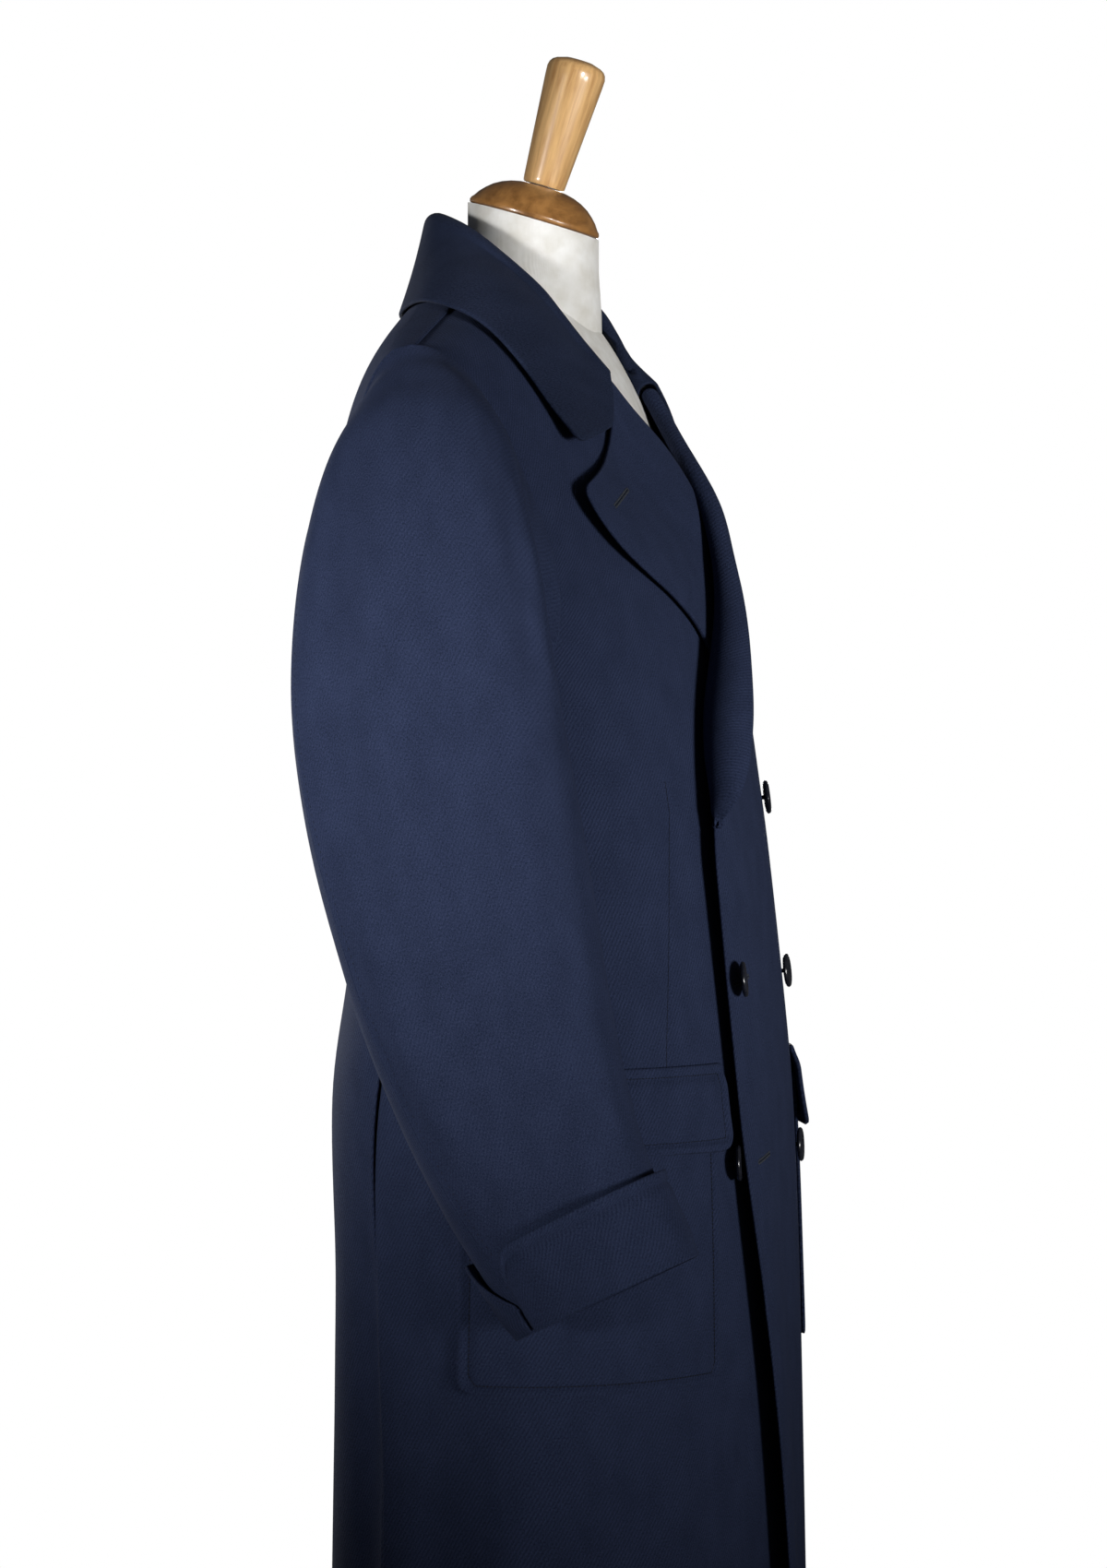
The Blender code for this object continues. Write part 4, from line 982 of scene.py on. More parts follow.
# ---------------------------------------------------------------- the sleeves
# Two-piece sleeves: a top sleeve and a narrow under sleeve, eased into the armhole so that the head swells.
SLEEVE_UNDER = 0.0042     # the head starts under the panels, this far below them and past the armhole's edge
SLEEVE_PAST = 0.0060
SLEEVE_SQUARENESS = 2.2
SLEEVE_ROWS = [           # x, y, z, across, across_rise, deep, forward lean in degrees
    (0.2265, 0.031, 1.2990, 0.0080, 0.1035, 0.0690, 0),
    (0.2385, 0.029, 1.2850, 0.0185, 0.0950, 0.0750, 0),
    (0.2475, 0.027, 1.2610, 0.0270, 0.0790, 0.0810, 1),
    (0.2540, 0.025, 1.2290, 0.0325, 0.0600, 0.0860, 2),
    (0.2580, 0.022, 1.1900, 0.0360, 0.0410, 0.0900, 4),
    (0.2605, 0.015, 1.1460, 0.0385, 0.0260, 0.0920, 7),
    (0.2625, 0.004, 1.0920, 0.0395, 0.0150, 0.0915, 10),
    (0.2645, -0.010, 1.0350, 0.0400, 0.0070, 0.0880, 13),
    (0.2665, -0.024, 0.9820, 0.0400, 0.0020, 0.0830, 16),
    (0.2690, -0.044, 0.9240, 0.0395, 0.0000, 0.0760, 21),
    (0.2715, -0.066, 0.8720, 0.0385, 0.0000, 0.0690, 25),
    (0.2735, -0.088, 0.8320, 0.0375, 0.0000, 0.0640, 27),
    (0.2745, -0.110, 0.7960, 0.0370, 0.0000, 0.0620, 26),
]
SWING = {RIGHT: 1.0, LEFT: 0.22}
SWING_BACK = {RIGHT: 0.0, LEFT: 0.005}
SWING_OUT = {RIGHT: 0.0, LEFT: 0.016}
ARM_SEAM_ROWS = [         # share of the sleeve's length, clocks of its back and front seam
    (0.00, -76.0, 126.0),
    (0.45, -70.0, 130.0),
    (0.60, -61.0, 130.0),
    (0.85, -47.0, 130.0),
    (1.00, -40.0, 130.0),
]
SLEEVE_FOLDS = [          # clock and share of its two ends, half width, height and bow
    (66, 0.14, 80, 0.50, 0.011, -0.0048, 0.004),
    (48, 0.10, 60, 0.46, 0.014, 0.0034, 0.003),
    (-6, 0.16, -10, 0.72, 0.013, -0.0050, -0.003),
    (14, 0.20, 12, 0.80, 0.015, 0.0036, 0.003),
    (-34, 0.14, -38, 0.62, 0.018, 0.0034, 0.004),
    (36, 0.42, 40, 0.86, 0.012, -0.0038, 0.003),
    (-46, 0.50, -26, 0.86, 0.013, -0.0036, 0.003),
    (64, 0.54, 66, 0.92, 0.012, -0.0026, 0.0),
    (2, 0.74, 24, 0.92, 0.010, 0.0018, 0.002),
    (-110, 0.20, -100, 0.70, 0.016, -0.0026, 0.004),
]
FOLD_ARM_RADIUS = 0.075   # turns a fold's clock and share into a place along the sleeve, in metres
FOLD_ARM_LENGTH = 0.62
ARM_SEAM_RADIUS = 0.06    # turns the lap of an arm seam into clock
ARMHOLE_CENTRE_Y = 0.030
ARMHOLE_CENTRE_DROP = 0.085
ARM_SEWING = (0.0052, 0.0011)    # pitch, and half length of a stitch
ARM_SEWN_SHARES = (0.30, 0.90)
ARM_STITCH_IN = 5.0       # degrees of clock from the back seam to its row of stitches


def armhole_point(side, clock):
    """A point of the armhole: clock 0 at the shoulder, 90 in front, 180 underarm, 270 behind."""
    clock %= 360
    half_clock = clock if clock <= 180 else 360 - clock
    middle = (TOP + UNDERARM) / 2
    level = middle + (TOP - middle) * math.cos(math.radians(half_clock))
    front_x, back_x = row_at(ARMHOLE_ROWS, half_clock)
    if clock <= 180:
        angle = angle_of(front_x, level)
    else:
        angle = angle_of(back_x, level, behind=True)
    point = body_point(angle, level)
    inwards = (Vector((point.x, ARMHOLE_CENTRE_Y, middle - ARMHOLE_CENTRE_DROP)) - point).normalized()
    point -= inwards * SLEEVE_PAST + body_normal(angle, level) * SLEEVE_UNDER
    point.x *= side
    return point


def sleeve_point(side, clock, v, out=0.0):
    """A point of a sleeve: clock as on the armhole, v from the armhole (0) to the sleeve's end (1)."""
    turn = math.radians(clock)
    over = power(math.cos(turn), 2 / SLEEVE_SQUARENESS)
    ahead = power(math.sin(turn), 2 / SLEEVE_SQUARENESS)
    start = armhole_point(LEFT, clock)
    rows = [(0.0, start.x, start.y, start.z)]
    top_y = SLEEVE_ROWS[0][1]
    for k, (x, y, z, across, rise, deep, lean) in enumerate(SLEEVE_ROWS):
        across_out = across + out
        deep_out = deep + out
        tilt = math.radians(lean * SWING[side])
        settled = smooth(k / 5)
        centre_y = mix(top_y, y, SWING[side]) + SWING_BACK[side] * settled
        rows.append(((k + 1) / len(SLEEVE_ROWS),
                     x + SWING_OUT[side] * smooth((k - 3) / 7) + across_out * over,
                     centre_y - deep_out * ahead * math.cos(tilt),
                     z + rise * over + deep_out * ahead * math.sin(tilt)))
    x, y, z = row_at(rows, v)
    return Vector((side * x, y, z))


def sleeve_row(v):
    """Spread a sleeve's rows: close together over the head, wider down the arm."""
    return v * (0.62 + 0.38 * v)


def sleeve_clock(under, u, v):
    gap = -math.degrees(SEAM_LAP / ARM_SEAM_RADIUS)
    back, front = row_at(ARM_SEAM_ROWS, sleeve_row(v))
    if under:
        return mix(front + gap, back + 360 - gap, u)
    return mix(back + gap, front - gap, u)


def sleeve_folds(side, clock, share):
    """The soft lengthwise folds of a sleeve, a little lower on the left one."""
    shift = 0.0 if side == RIGHT else 0.05
    clock = (clock + 180) % 360 - 180
    s, t = math.radians(clock) * FOLD_ARM_RADIUS, (share - shift) * FOLD_ARM_LENGTH
    total = 0.0
    for clock_0, share_0, clock_1, share_1, *form in SLEEVE_FOLDS:
        total += ridge(s, t, (math.radians(clock_0) * FOLD_ARM_RADIUS, share_0 * FOLD_ARM_LENGTH,
                              math.radians(clock_1) * FOLD_ARM_RADIUS, share_1 * FOLD_ARM_LENGTH, *form))
    return total


def sleeve_surface(side, under):
    def surface(u, v):
        return sleeve_point(side, sleeve_clock(under, u, v), sleeve_row(v))
    return surface


def sleeve_relief(side, under):
    def relief(u, v):
        width = 0.15 if under else 0.25
        head = 0.0016 * math.exp(-((v - 0.04) / 0.03) ** 2)
        seams = groove(u * width) + groove((1 - u) * width)
        return sleeve_folds(side, sleeve_clock(under, u, v), sleeve_row(v)) + head + seams
    return relief


def arm_seam_route(side):
    """Along the back seam of the arm, a little way in on the top sleeve, from the elbow to the cuff."""
    def route(t):
        share = mix(*ARM_SEWN_SHARES, t)
        clock = row_at(ARM_SEAM_ROWS, share)[0] + ARM_STITCH_IN
        point = sleeve_point(side, clock, share)
        along = sleeve_point(side, clock, share + 0.01) - point
        across = sleeve_point(side, clock + 1, share) - point
        return point, across.cross(along).normalized() * side
    return route


sleeve_wool = wool_material("navy_wool_sleeve", 0.5)
for side, word in SIDES:
    top_sleeve = cut_cloth("coat_top_sleeve_" + word, 34, 84, sleeve_surface(side, False),
                           sleeve_relief(side, False), -side, sleeve_wool, rightward=-side)
    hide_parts("top_sleeve_" + word)
    under_sleeve = cut_cloth("coat_under_sleeve_" + word, 20, 84, sleeve_surface(side, True),
                             sleeve_relief(side, True), -side, wool, rightward=-side, grain=-32)
    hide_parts("under_sleeve_" + word)
    sewn_row("arm_seam_" + word, top_sleeve, arm_seam_route(side), *ARM_SEWING)


# ---------------------------------------------------------------- the cuffs
# Turned-back cuffs, folded over the sleeve's end and open in a notch at the back seam of the arm.
CUFF_START = 0.895
CUFF_STAND_OFF = 0.0052
CUFF_FLARE = 0.0025
CUFF_DROP = 0.0015
CUFF_HEM_GAP = 0.0006
CUFF_DEPTH = 0.08
CUFF_SEWN_AT = 0.13       # shares of the cuff's depth from its upper edge: the sewn groove, and the rim above it
CUFF_SEWN_GROOVE = (0.0016, 0.0042)
CUFF_RIM_AT = 0.045
CUFF_RIM = (-0.0006, 0.0025)
CUFF_SLOPE = 27.0         # degrees that the forearm leans forward
CUFF_CLOSE = 38.0         # degrees of clock each side of its notch where it lies close to the sleeve
CUFF_NOTCH = 0.70
CUFF_NOTCH_TOP = 17.0
CUFF_NOTCH_UNDER = 44.0
CUFF_CROWDING = 0.05


def cuff_top(clock):
    """Where the cuff's upper edge lies on the sleeve: it drops into a notch at the back arm seam."""
    away = (clock - row_at(ARM_SEAM_ROWS, 1.0)[0] + 180) % 360 - 180
    if away > 0:
        over = min(1.0, away / CUFF_NOTCH_TOP)
        notch = 1 - math.sqrt(1 - (1 - over) ** 2)
    else:
        notch = max(0.0, 1 + away / CUFF_NOTCH_UNDER)
    return mix(CUFF_START, 1.0, CUFF_NOTCH * notch)


def cuff_surface(side):
    gap = 1.2

    def surface(u, v):
        seam = row_at(ARM_SEAM_ROWS, 1.0)[0]
        wider = u - CUFF_CROWDING * math.sin(math.tau * u)
        clock = mix(seam + gap, seam + 360 - gap, wider)
        top = cuff_top(clock)
        along = mix(top, 1.0, v)
        from_seam = (clock - seam + 180) % 360 - 180
        close = math.exp(-(from_seam / CUFF_CLOSE) ** 2)
        stand_off = mix(CUFF_STAND_OFF + CUFF_FLARE * (1 - v), CLOTH + 2 * CUFF_HEM_GAP, close)
        out = mix(stand_off, CLOTH + CUFF_HEM_GAP, smooth((v - 0.7) / 0.3))
        out += sleeve_folds(side, clock, along)
        out += groove((v - CUFF_SEWN_AT) * CUFF_DEPTH, *CUFF_SEWN_GROOVE)
        out += groove((v - CUFF_RIM_AT) * CUFF_DEPTH, *CUFF_RIM)
        lower = Vector((0, -math.sin(math.radians(CUFF_SLOPE)), -math.cos(math.radians(CUFF_SLOPE)))) * CUFF_DROP
        return sleeve_point(side, clock, along, out) + lower * smooth((v - 0.6) / 0.4)
    return surface


for side, word in SIDES:
    cuff = cut_cloth("coat_cuff_" + word, 90, 22, cuff_surface(side), lambda u, v: 0.0, -side, wool,
                     crowd=(0.0, 0.3), rightward=-side)
    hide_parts("cuff_" + word)


# ---------------------------------------------------------------- the lapels
# Each lapel is the front's own facing rolled back over the chest, with a pressed edge and a pointed tip.
LAPEL_CLOTH = 0.003
LAPEL_GAP = 0.0022
LAPEL_ROLL_SHARE = 0.22
LAPEL_TIP_ROUNDING = 0.0075
GORGE_DROOP = 0.0150       # the gorge sags this far between the roll line and the tip
GORGE_DROOP_END = 0.35
LAPEL_ROWS = [            # roll_level, edge_x (on its own side), edge_level, stand_off, roll_radius
    (1.430, 0.1550, 1.3850, 0.0140, 0.0035),
    (1.395, 0.1490, 1.3560, 0.0130, 0.0036),
    (1.360, 0.1350, 1.3230, 0.0105, 0.0038),
    (1.325, 0.1130, 1.2945, 0.0075, 0.0042),
    (1.290, 0.0830, 1.2665, 0.0060, 0.0045),
    (1.255, 0.0510, 1.2380, 0.0055, 0.0080),
    (1.220, 0.0220, 1.2000, 0.0050, 0.0120),
    (1.180, -0.0100, 1.1520, 0.0055, 0.0155),
    (1.145, -0.0500, 1.1210, 0.0060, 0.0140),
    (1.120, -0.0785, 1.1090, 0.0060, 0.0090),
    (1.107, -0.0890, 1.1020, 0.0056, 0.0036),
    (1.0965, -0.0940, 1.0940, 0.0054, 0.0002),
]
STAND_OFF_SHARE = {LEFT: 0.5, RIGHT: 1.0}
RIGHT_LAPEL_END = 5.5
TUCK_ROWS = [             # lapel row, radius of its roll, how far it is rolled (1 is fully), shift of its edge
    (0.0, 0.0018, 1.0, 0.000),
    (1.0, 0.0028, 1.0, 0.000),
    (2.0, 0.0038, 1.0, 0.000),
    (3.2, 0.0042, 1.0, 0.000),
    (4.0, 0.0040, 0.4, 0.006),
    (4.5, 0.0035, 0.0, 0.030),
    (5.0, 0.0035, 0.0, 0.051),
    (5.5, 0.0035, 0.0, 0.060),
]
LAPEL_MERGE = 0.90         # from this share of its length the left lapel runs into its front at the break
LAPEL_HOLE = (0.64, 0.86)   # where the lapel's buttonhole starts and ends, as shares of its width
LAPEL_HOLE_ROW = 0.088
HOLE_STITCH = 0.00062
HOLE_LIP = 0.0011
LAPEL_GRAIN = {LEFT: 36.0, RIGHT: 0.0}
LAPEL_CUT = {LEFT: (0.145, 0.440), RIGHT: (0.145, 0.245)}


def numbered(rows):
    """Give a table's rows their places from 0 to 1 as a first column."""
    return [(k / (len(rows) - 1),) + tuple(row) for k, row in enumerate(rows)]


def lapel_row(side, v):
    """One row of a lapel: its roll line's end, its outer edge, its stand-off and how far it is rolled."""
    roll_level, edge_x, edge_level, stand_off, radius = row_at(numbered(LAPEL_ROWS), v)
    stand_off = max(LAPEL_CLOTH + LAPEL_GAP, stand_off * STAND_OFF_SHARE[side])
    rolled, shift = 1.0, 0.0
    if side == RIGHT:
        radius, rolled, shift = row_at(TUCK_ROWS, v * (len(LAPEL_ROWS) - 1))
    return roll_x(roll_level) + shift, roll_level, edge_x, edge_level, stand_off, radius, rolled


def corner_inset(distance, radius):
    """How far a rounded corner draws a side in, at a distance from the edge it rounds into."""
    if distance >= radius:
        return 0.0
    return radius - math.sqrt(max(0.0, radius ** 2 - (radius - distance) ** 2))


def lapel_point(side, u, v):
    """A point of a lapel's face: u from the roll line to the outer edge, v from the gorge down."""
    start_x, start_level, edge_x, edge_level, stand_off, radius, rolled = lapel_row(side, v)
    width = math.hypot(edge_x - start_x, edge_level - start_level)
    tip = 1 - corner_inset(v * LAPEL_CUT[side][1], LAPEL_TIP_ROUNDING) / width
    outer = radius + LAPEL_CLOTH
    flat_out = LAPEL_CLOTH + LAPEL_GAP
    flat_share = 0.15
    if u < LAPEL_ROLL_SHARE:
        turn = math.pi * (u / LAPEL_ROLL_SHARE - 0.5)
        share = mix(flat_share * u / LAPEL_ROLL_SHARE, -(outer * math.cos(turn) + 2 * SEAM) / width, rolled)
        out = mix(flat_out, outer * (1 + math.sin(turn)) - LAPEL_CLOTH, rolled)
    else:
        over = (u - LAPEL_ROLL_SHARE) / (1 - LAPEL_ROLL_SHARE)
        share = mix(mix(flat_share, 0.0, rolled), tip, over)
        crest = mix(flat_out, 2 * outer - LAPEL_CLOTH, rolled)
        out = mix(crest, flat_out, smooth(over / 0.4)) + (stand_off - flat_out) * smooth((over - 0.4) / 0.6)
    x = mix(start_x, edge_x, share)
    if side == LEFT:
        merged = smooth((v - LAPEL_MERGE) / (1 - LAPEL_MERGE))
        out = mix(out, -2 * SEAM, merged)
        x += (LAPEL_CLOTH + 4 * SEAM) * merged
    fade = smooth(1 - v / GORGE_DROOP_END)
    sag = GORGE_DROOP * fade * math.sin(math.pi * min(1.0, max(0.0, share)) ** 0.8)
    level = mix(start_level, edge_level, share) - sag
    return front_place(side, x, level, out)[0]


def lapel_spot(side, u, v):
    """A point of a lapel and the way out of it."""
    point = lapel_point(side, u, v)
    along = lapel_point(side, u + 0.02, v) - point
    down = lapel_point(side, u, v + 0.02) - point
    return point, along.cross(down).normalized() * -side


def buttonhole(name, piece, start, end, normal):
    """A worked buttonhole: a painted shadow of dark stitches for its slit, close stitches down both lips and a fan
    of them round its eyelet.
    """
    along = (end - start).normalized()
    across = normal.cross(along)
    stitches = int((end - start).length / HOLE_STITCH)
    bm = bmesh.new()
    # Painted shadow: dark stitches down the middle stand for the shade inside the slit.
    for k in range(1, stitches, 2):
        place, _ = seated(piece, start.lerp(end, k / stitches), normal)
        add_stitch(bm, place, along, normal, HOLE_STITCH * 1.6, 0.00042)
    slit_shadow_faces = len(bm.faces)
    for k in range(stitches + 1):
        for lip in (-1, 1):
            place, _ = seated(piece, start.lerp(end, k / stitches) + across * lip * HOLE_LIP, normal)
            add_stitch(bm, place, across, normal, HOLE_LIP * 0.8, 0.00034)
    for k in range(9):
        turn = math.radians(k * 22.5 - 90)
        spoke = along * -math.cos(turn) + across * math.sin(turn)
        place, _ = seated(piece, start + spoke * HOLE_LIP, normal)
        add_stitch(bm, place, spoke, normal, HOLE_LIP * 0.8, 0.00034)
    worked = keep_mesh(name, bm, pale_thread, 180)
    worked.data.materials.append(navy_thread_and_seam_shade)
    for face in worked.data.polygons[:slit_shadow_faces]:
        face.material_index = 1
    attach(worked, "root")


def lapel_surface(side):
    last = 1.0 if side == LEFT else RIGHT_LAPEL_END / (len(LAPEL_ROWS) - 1)
    return lambda u, v: lapel_point(side, u, v * last)


for side, word in SIDES:
    lapel = cut_cloth("coat_lapel_" + word, 30, 60, lapel_surface(side), lambda u, v: 0.0, -side,
                      wool if side == LEFT else brushed_wool, crowd=(0.3, 0.5), thickness=LAPEL_CLOTH,
                      rightward=side, grain=LAPEL_GRAIN[side])
    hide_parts("lapel_" + word)
    hole = [seated(lapel, *lapel_spot(side, u, LAPEL_HOLE_ROW)) for u in LAPEL_HOLE]
    buttonhole("lapel_buttonhole_" + word, lapel, hole[0][0], hole[1][0], hole[0][1])


# ---------------------------------------------------------------- the collar
# One strip folded over: the stand rises from the neck seam, the fall turns over it and lies on the shoulders.
# Its cloth is the fronts' navy wool with darker colours, as painted shade on the collar's up-facing surfaces.
COLLAR_CLOTH = 0.003
COLLAR_FOLD = 0.0055
COLLAR_STAND_SHARE = 0.26
COLLAR_FOLD_SHARE = 0.44
COLLAR_ROWS = [           # seam_x, seam_y, fold_x, fold_y, fold_z, edge_x, edge_y, stand_off
    (0.000, 0.0975, 0.000, 0.0925, 1.5400, 0.000, 0.1190, 0.0045),
    (0.045, 0.0880, 0.042, 0.0790, 1.5375, 0.064, 0.1045, 0.0045),
    (0.072, 0.0650, 0.068, 0.0500, 1.5230, 0.118, 0.0720, 0.0045),
    (0.078, 0.0450, 0.073, 0.0230, 1.5020, 0.149, 0.0380, 0.0045),
    (0.074, 0.0150, 0.070, -0.0010, 1.4800, 0.154, 0.0120, 0.0050),
    (0.066, -0.0080, 0.063, -0.0140, 1.4620, 0.153, -0.0100, 0.0060),
    (0.056, -0.0250, 0.053, -0.0275, 1.4420, 0.148, -0.0300, 0.0085),
]
NOTCH_X = 0.086
COLLAR_POINT = (0.142, 1.4120)
COLLAR_POINT_STAND_OFF = 0.0130
COLLAR_CORNER = 0.010     # the point is rounded this far from it
COLLAR_CORNER_SHARE = 0.75
COLLAR_SEAM_RISE = (0.0016, 0.0028)   # over the neck seam at the centre back and at the front
COLLAR_SWELL = (-0.006, 0.008)        # of the fall at the centre back, and from its fourth row on
COLLAR_END_LIFT = (0, 0.0004, 0.0016)
NOTCH_SHARE = 0.45        # share of the fall's end that runs along the gorge
COLLAR_BEHIND_Y = 0.045   # behind this the collar lies on the back, in front of it on the chest


def level_under(x, y):
    """The level of the point of the body surface right under or over a place on the shoulders."""
    level = TOP - 0.02
    for _ in range(6):
        half_width, front, back, side_line, squareness = row_at(BODY_ROWS, level)
        if y > side_line:
            squareness = BACK_SQUARENESS
        across = (1 - min(0.999, abs(x) / half_width) ** squareness) ** (1 / squareness)
        if y <= side_line:
            reach = (side_line - y) / ((front + side_line) * across)
            start, roundness = CHEST_ROUNDING
        else:
            reach = (y - side_line) / ((back - side_line) * across)
            start, roundness = BLADE_ROUNDING
        level = start + (TOP - start) * (1 - min(1.0, reach) ** roundness) ** (1 / roundness)
    return level


def collar_row(k, v):
    """A point of one row of the collar on the wearer's left, from the neck seam to the fall's edge."""
    seam_x, seam_y, fold_x, fold_y, fold_z, edge_x, edge_y, stand_off = COLLAR_ROWS[k]
    seam_level = level_under(seam_x, seam_y)
    seam = body_point(angle_of(seam_x, seam_level, seam_y > COLLAR_BEHIND_Y), seam_level)
    seam.z += mix(*COLLAR_SEAM_RISE, k / (len(COLLAR_ROWS) - 1))
    fold = Vector((fold_x, fold_y, fold_z))
    out = Vector((edge_x - fold_x, edge_y - fold_y, 0)).normalized()
    radius = COLLAR_FOLD
    if v < COLLAR_STAND_SHARE:
        share = v / COLLAR_STAND_SHARE
        return seam.lerp(fold - Vector((0, 0, radius)), share)
    if v < COLLAR_FOLD_SHARE:
        turn = math.pi * (v - COLLAR_STAND_SHARE) / (COLLAR_FOLD_SHARE - COLLAR_STAND_SHARE)
        return fold + out * radius * (1 - math.cos(turn)) + Vector((0, 0, radius * (math.sin(turn) - 1)))
    share = (v - COLLAR_FOLD_SHARE) / (1 - COLLAR_FOLD_SHARE)
    start = fold + out * 2 * radius - Vector((0, 0, radius))
    x, y = mix(start.x, edge_x, share), mix(start.y, edge_y, share)
    edge_level = level_under(edge_x, edge_y)
    edge = body_point(angle_of(edge_x, edge_level, edge_y > COLLAR_BEHIND_Y), edge_level)
    edge_z = edge.z + stand_off * 1.3
    swell = mix(*COLLAR_SWELL, min(1.0, k / 3))
    line = mix(start.z, edge_z, share) + swell * math.sin(math.pi * share)
    return Vector((x, y, line))


def front_lift(point):
    """Keep the collar's end a seam's gap above the lapel's upper edge."""
    return point + Vector(COLLAR_END_LIFT)


def collar_end(side, v):
    """A collar's front end: along the gorge to the notch, then to the collar's point."""
    if v < COLLAR_FOLD_SHARE:
        share = v / COLLAR_FOLD_SHARE * LAPEL_ROLL_SHARE
        return front_lift(lapel_point(side, share, 0.0))
    share = (v - COLLAR_FOLD_SHARE) / (1 - COLLAR_FOLD_SHARE)
    gorge_x, _, tip_x, _, _, _, _ = lapel_row(side, 0.0)
    notch = (NOTCH_X - gorge_x) / (tip_x - gorge_x)
    if share < NOTCH_SHARE:
        along = mix(LAPEL_ROLL_SHARE, 1.0, share / NOTCH_SHARE * notch)
        return front_lift(lapel_point(side, along, 0.0))
    along = mix(LAPEL_ROLL_SHARE, 1.0, notch)
    start = front_lift(lapel_point(side, along, 0.0))
    stand_off = COLLAR_POINT_STAND_OFF * mix(STAND_OFF_SHARE[side], 1.0, 0.2)
    corner = front_place(side, COLLAR_POINT[0], COLLAR_POINT[1], stand_off)[0]
    beside = collar_row(len(COLLAR_ROWS) - 1, 1.0)
    beside.x *= side
    rounding_start = corner + (start - corner).normalized() * COLLAR_CORNER
    rounding_end = corner + (beside - corner).normalized() * COLLAR_CORNER
    down = (share - NOTCH_SHARE) / (1 - NOTCH_SHARE)
    if down < COLLAR_CORNER_SHARE:
        return start.lerp(rounding_start, down / COLLAR_CORNER_SHARE)
    turn = (down - COLLAR_CORNER_SHARE) / (1 - COLLAR_CORNER_SHARE)
    return rounding_start.lerp(corner, turn).lerp(corner.lerp(rounding_end, turn), turn)


collar_lines = {}


def collar_line(v):
    """The collar's rows at one share of its width, kept for its next point there."""
    if v not in collar_lines:
        rows = [(k / len(COLLAR_ROWS),) + tuple(collar_row(k, v)) for k in range(len(COLLAR_ROWS))]
        collar_lines[v] = rows, collar_end(LEFT, v), collar_end(RIGHT, v)
    return collar_lines[v]


def collar_point(u, v):
    """u from the right end (0) through the centre back (0.5) to the left end (1)."""
    away = abs(u - 0.5) * 2
    kept, left_end, right_end = collar_line(v)
    side, end = (LEFT, left_end) if u > 0.5 else (RIGHT, right_end)
    rows = list(kept)
    rows.append((1.0, abs(end.x), end.y, end.z))
    rows.insert(0, (-rows[1][0], -rows[1][1], rows[1][2], rows[1][3]))
    x, y, z = row_at(rows, away)
    return Vector((side * x, y, z))


shaded_collar_wool = wool_material("navy_wool_collar_shaded", 0.25, COLLAR_NAVY_SHADED)
collar = cut_cloth("coat_collar", 96, 38, collar_point, lambda u, v: 0.0, -1, shaded_collar_wool,
                   crowd=(0.3, 0.2), thickness=COLLAR_CLOTH, rightward=-1)
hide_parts("collar")


# ---------------------------------------------------------------- the pockets and their flaps
# Patch pockets stitched on the skirt, round at their lower corners, each under a stitched-down flap.
POCKET_FRONT_ANGLE = 27.0
POCKET_BACK_ANGLE = 91.5
POCKET_TOP = 0.918
POCKET_BOTTOM = 0.7215
POCKET_CORNER = 0.012
POCKET_STAND_OFF = 0.0034
POCKET_SLACK = 0.0010
FLAP_FRONT_ANGLE = 24.0
FLAP_BACK_ANGLE = 93.0
FLAP_TOP = 0.938
FLAP_BOTTOM = 0.879
FLAP_CLOTH = 0.003
FLAP_SEAM_OFF = 0.0033
FLAP_STAND_OFF = 0.0072
FLAP_FLARE = 0.0045
FLAP_CORNER = 0.012
PATCH_CROWDING = 1.7      # a patch's rows lie closer together towards its lower edge
POCKET_STITCH = 0.0065
FLAP_STITCH = 0.0075
PATCH_GROOVE = (0.0015, 0.0020)   # depth and half width
PATCH_RIM = (0.0008, 0.0022)
POCKET_SEWING = (0.0026, 0.0013, 0.0006)
FLAP_SEWING = (0.0026, 0.0012, 0.00045)
POCKET_CUT = (0.212, 0.197)
FLAP_CUT = (0.236, 0.060)


def patch_surface(side, front_angle, back_angle, top, bottom, corner, height_off):
    def surface(u, v):
        down = 1 - (1 - v) ** PATCH_CROWDING
        level = mix(top, bottom, down)
        inset = math.degrees(corner_inset(level - bottom, corner) / SKIRT_RADIUS)
        angle = side * mix(front_angle + inset, back_angle - inset, u)
        normal = body_normal(angle, level)
        return body_point(angle, level) + normal * (height_off(u, down) + hang(angle, level))
    return surface


def pocket_height(u, down):
    return POCKET_STAND_OFF + POCKET_SLACK * math.sin(math.pi * down) * math.sin(math.pi * u)


def flap_height(u, down):
    lifted = mix(FLAP_SEAM_OFF, FLAP_STAND_OFF, smooth(down / 0.3))
    return lifted + FLAP_FLARE * down ** 2 * (1 - u) ** 3


def patch_route(surface, size, stitch, open_top):
    """The line of stitches round a patch, inside its sides and lower edge, or round all four."""
    near, far = stitch / size[0], 1 - stitch / size[0]
    top, bottom = 0.0 if open_top else stitch / size[1], 1 - stitch / size[1]
    corners = [(near, top), (near, bottom), (far, bottom), (far, top)]
    if not open_top:
        corners.append(corners[0])
    reaches = [math.hypot((b[0] - a[0]) * size[0], (b[1] - a[1]) * size[1]) for a, b in zip(corners, corners[1:])]

    def route(t):
        along = t * sum(reaches) * 0.9999
        k = 0
        while along > reaches[k]:
            along -= reaches[k]
            k += 1
        u = mix(corners[k][0], corners[k + 1][0], along / reaches[k])
        v = 1 - (1 - mix(corners[k][1], corners[k + 1][1], along / reaches[k])) ** (1 / PATCH_CROWDING)
        point = surface(u, v)
        return point, body_normal(math.degrees(math.atan2(point.x, -point.y)), point.z)
    return route


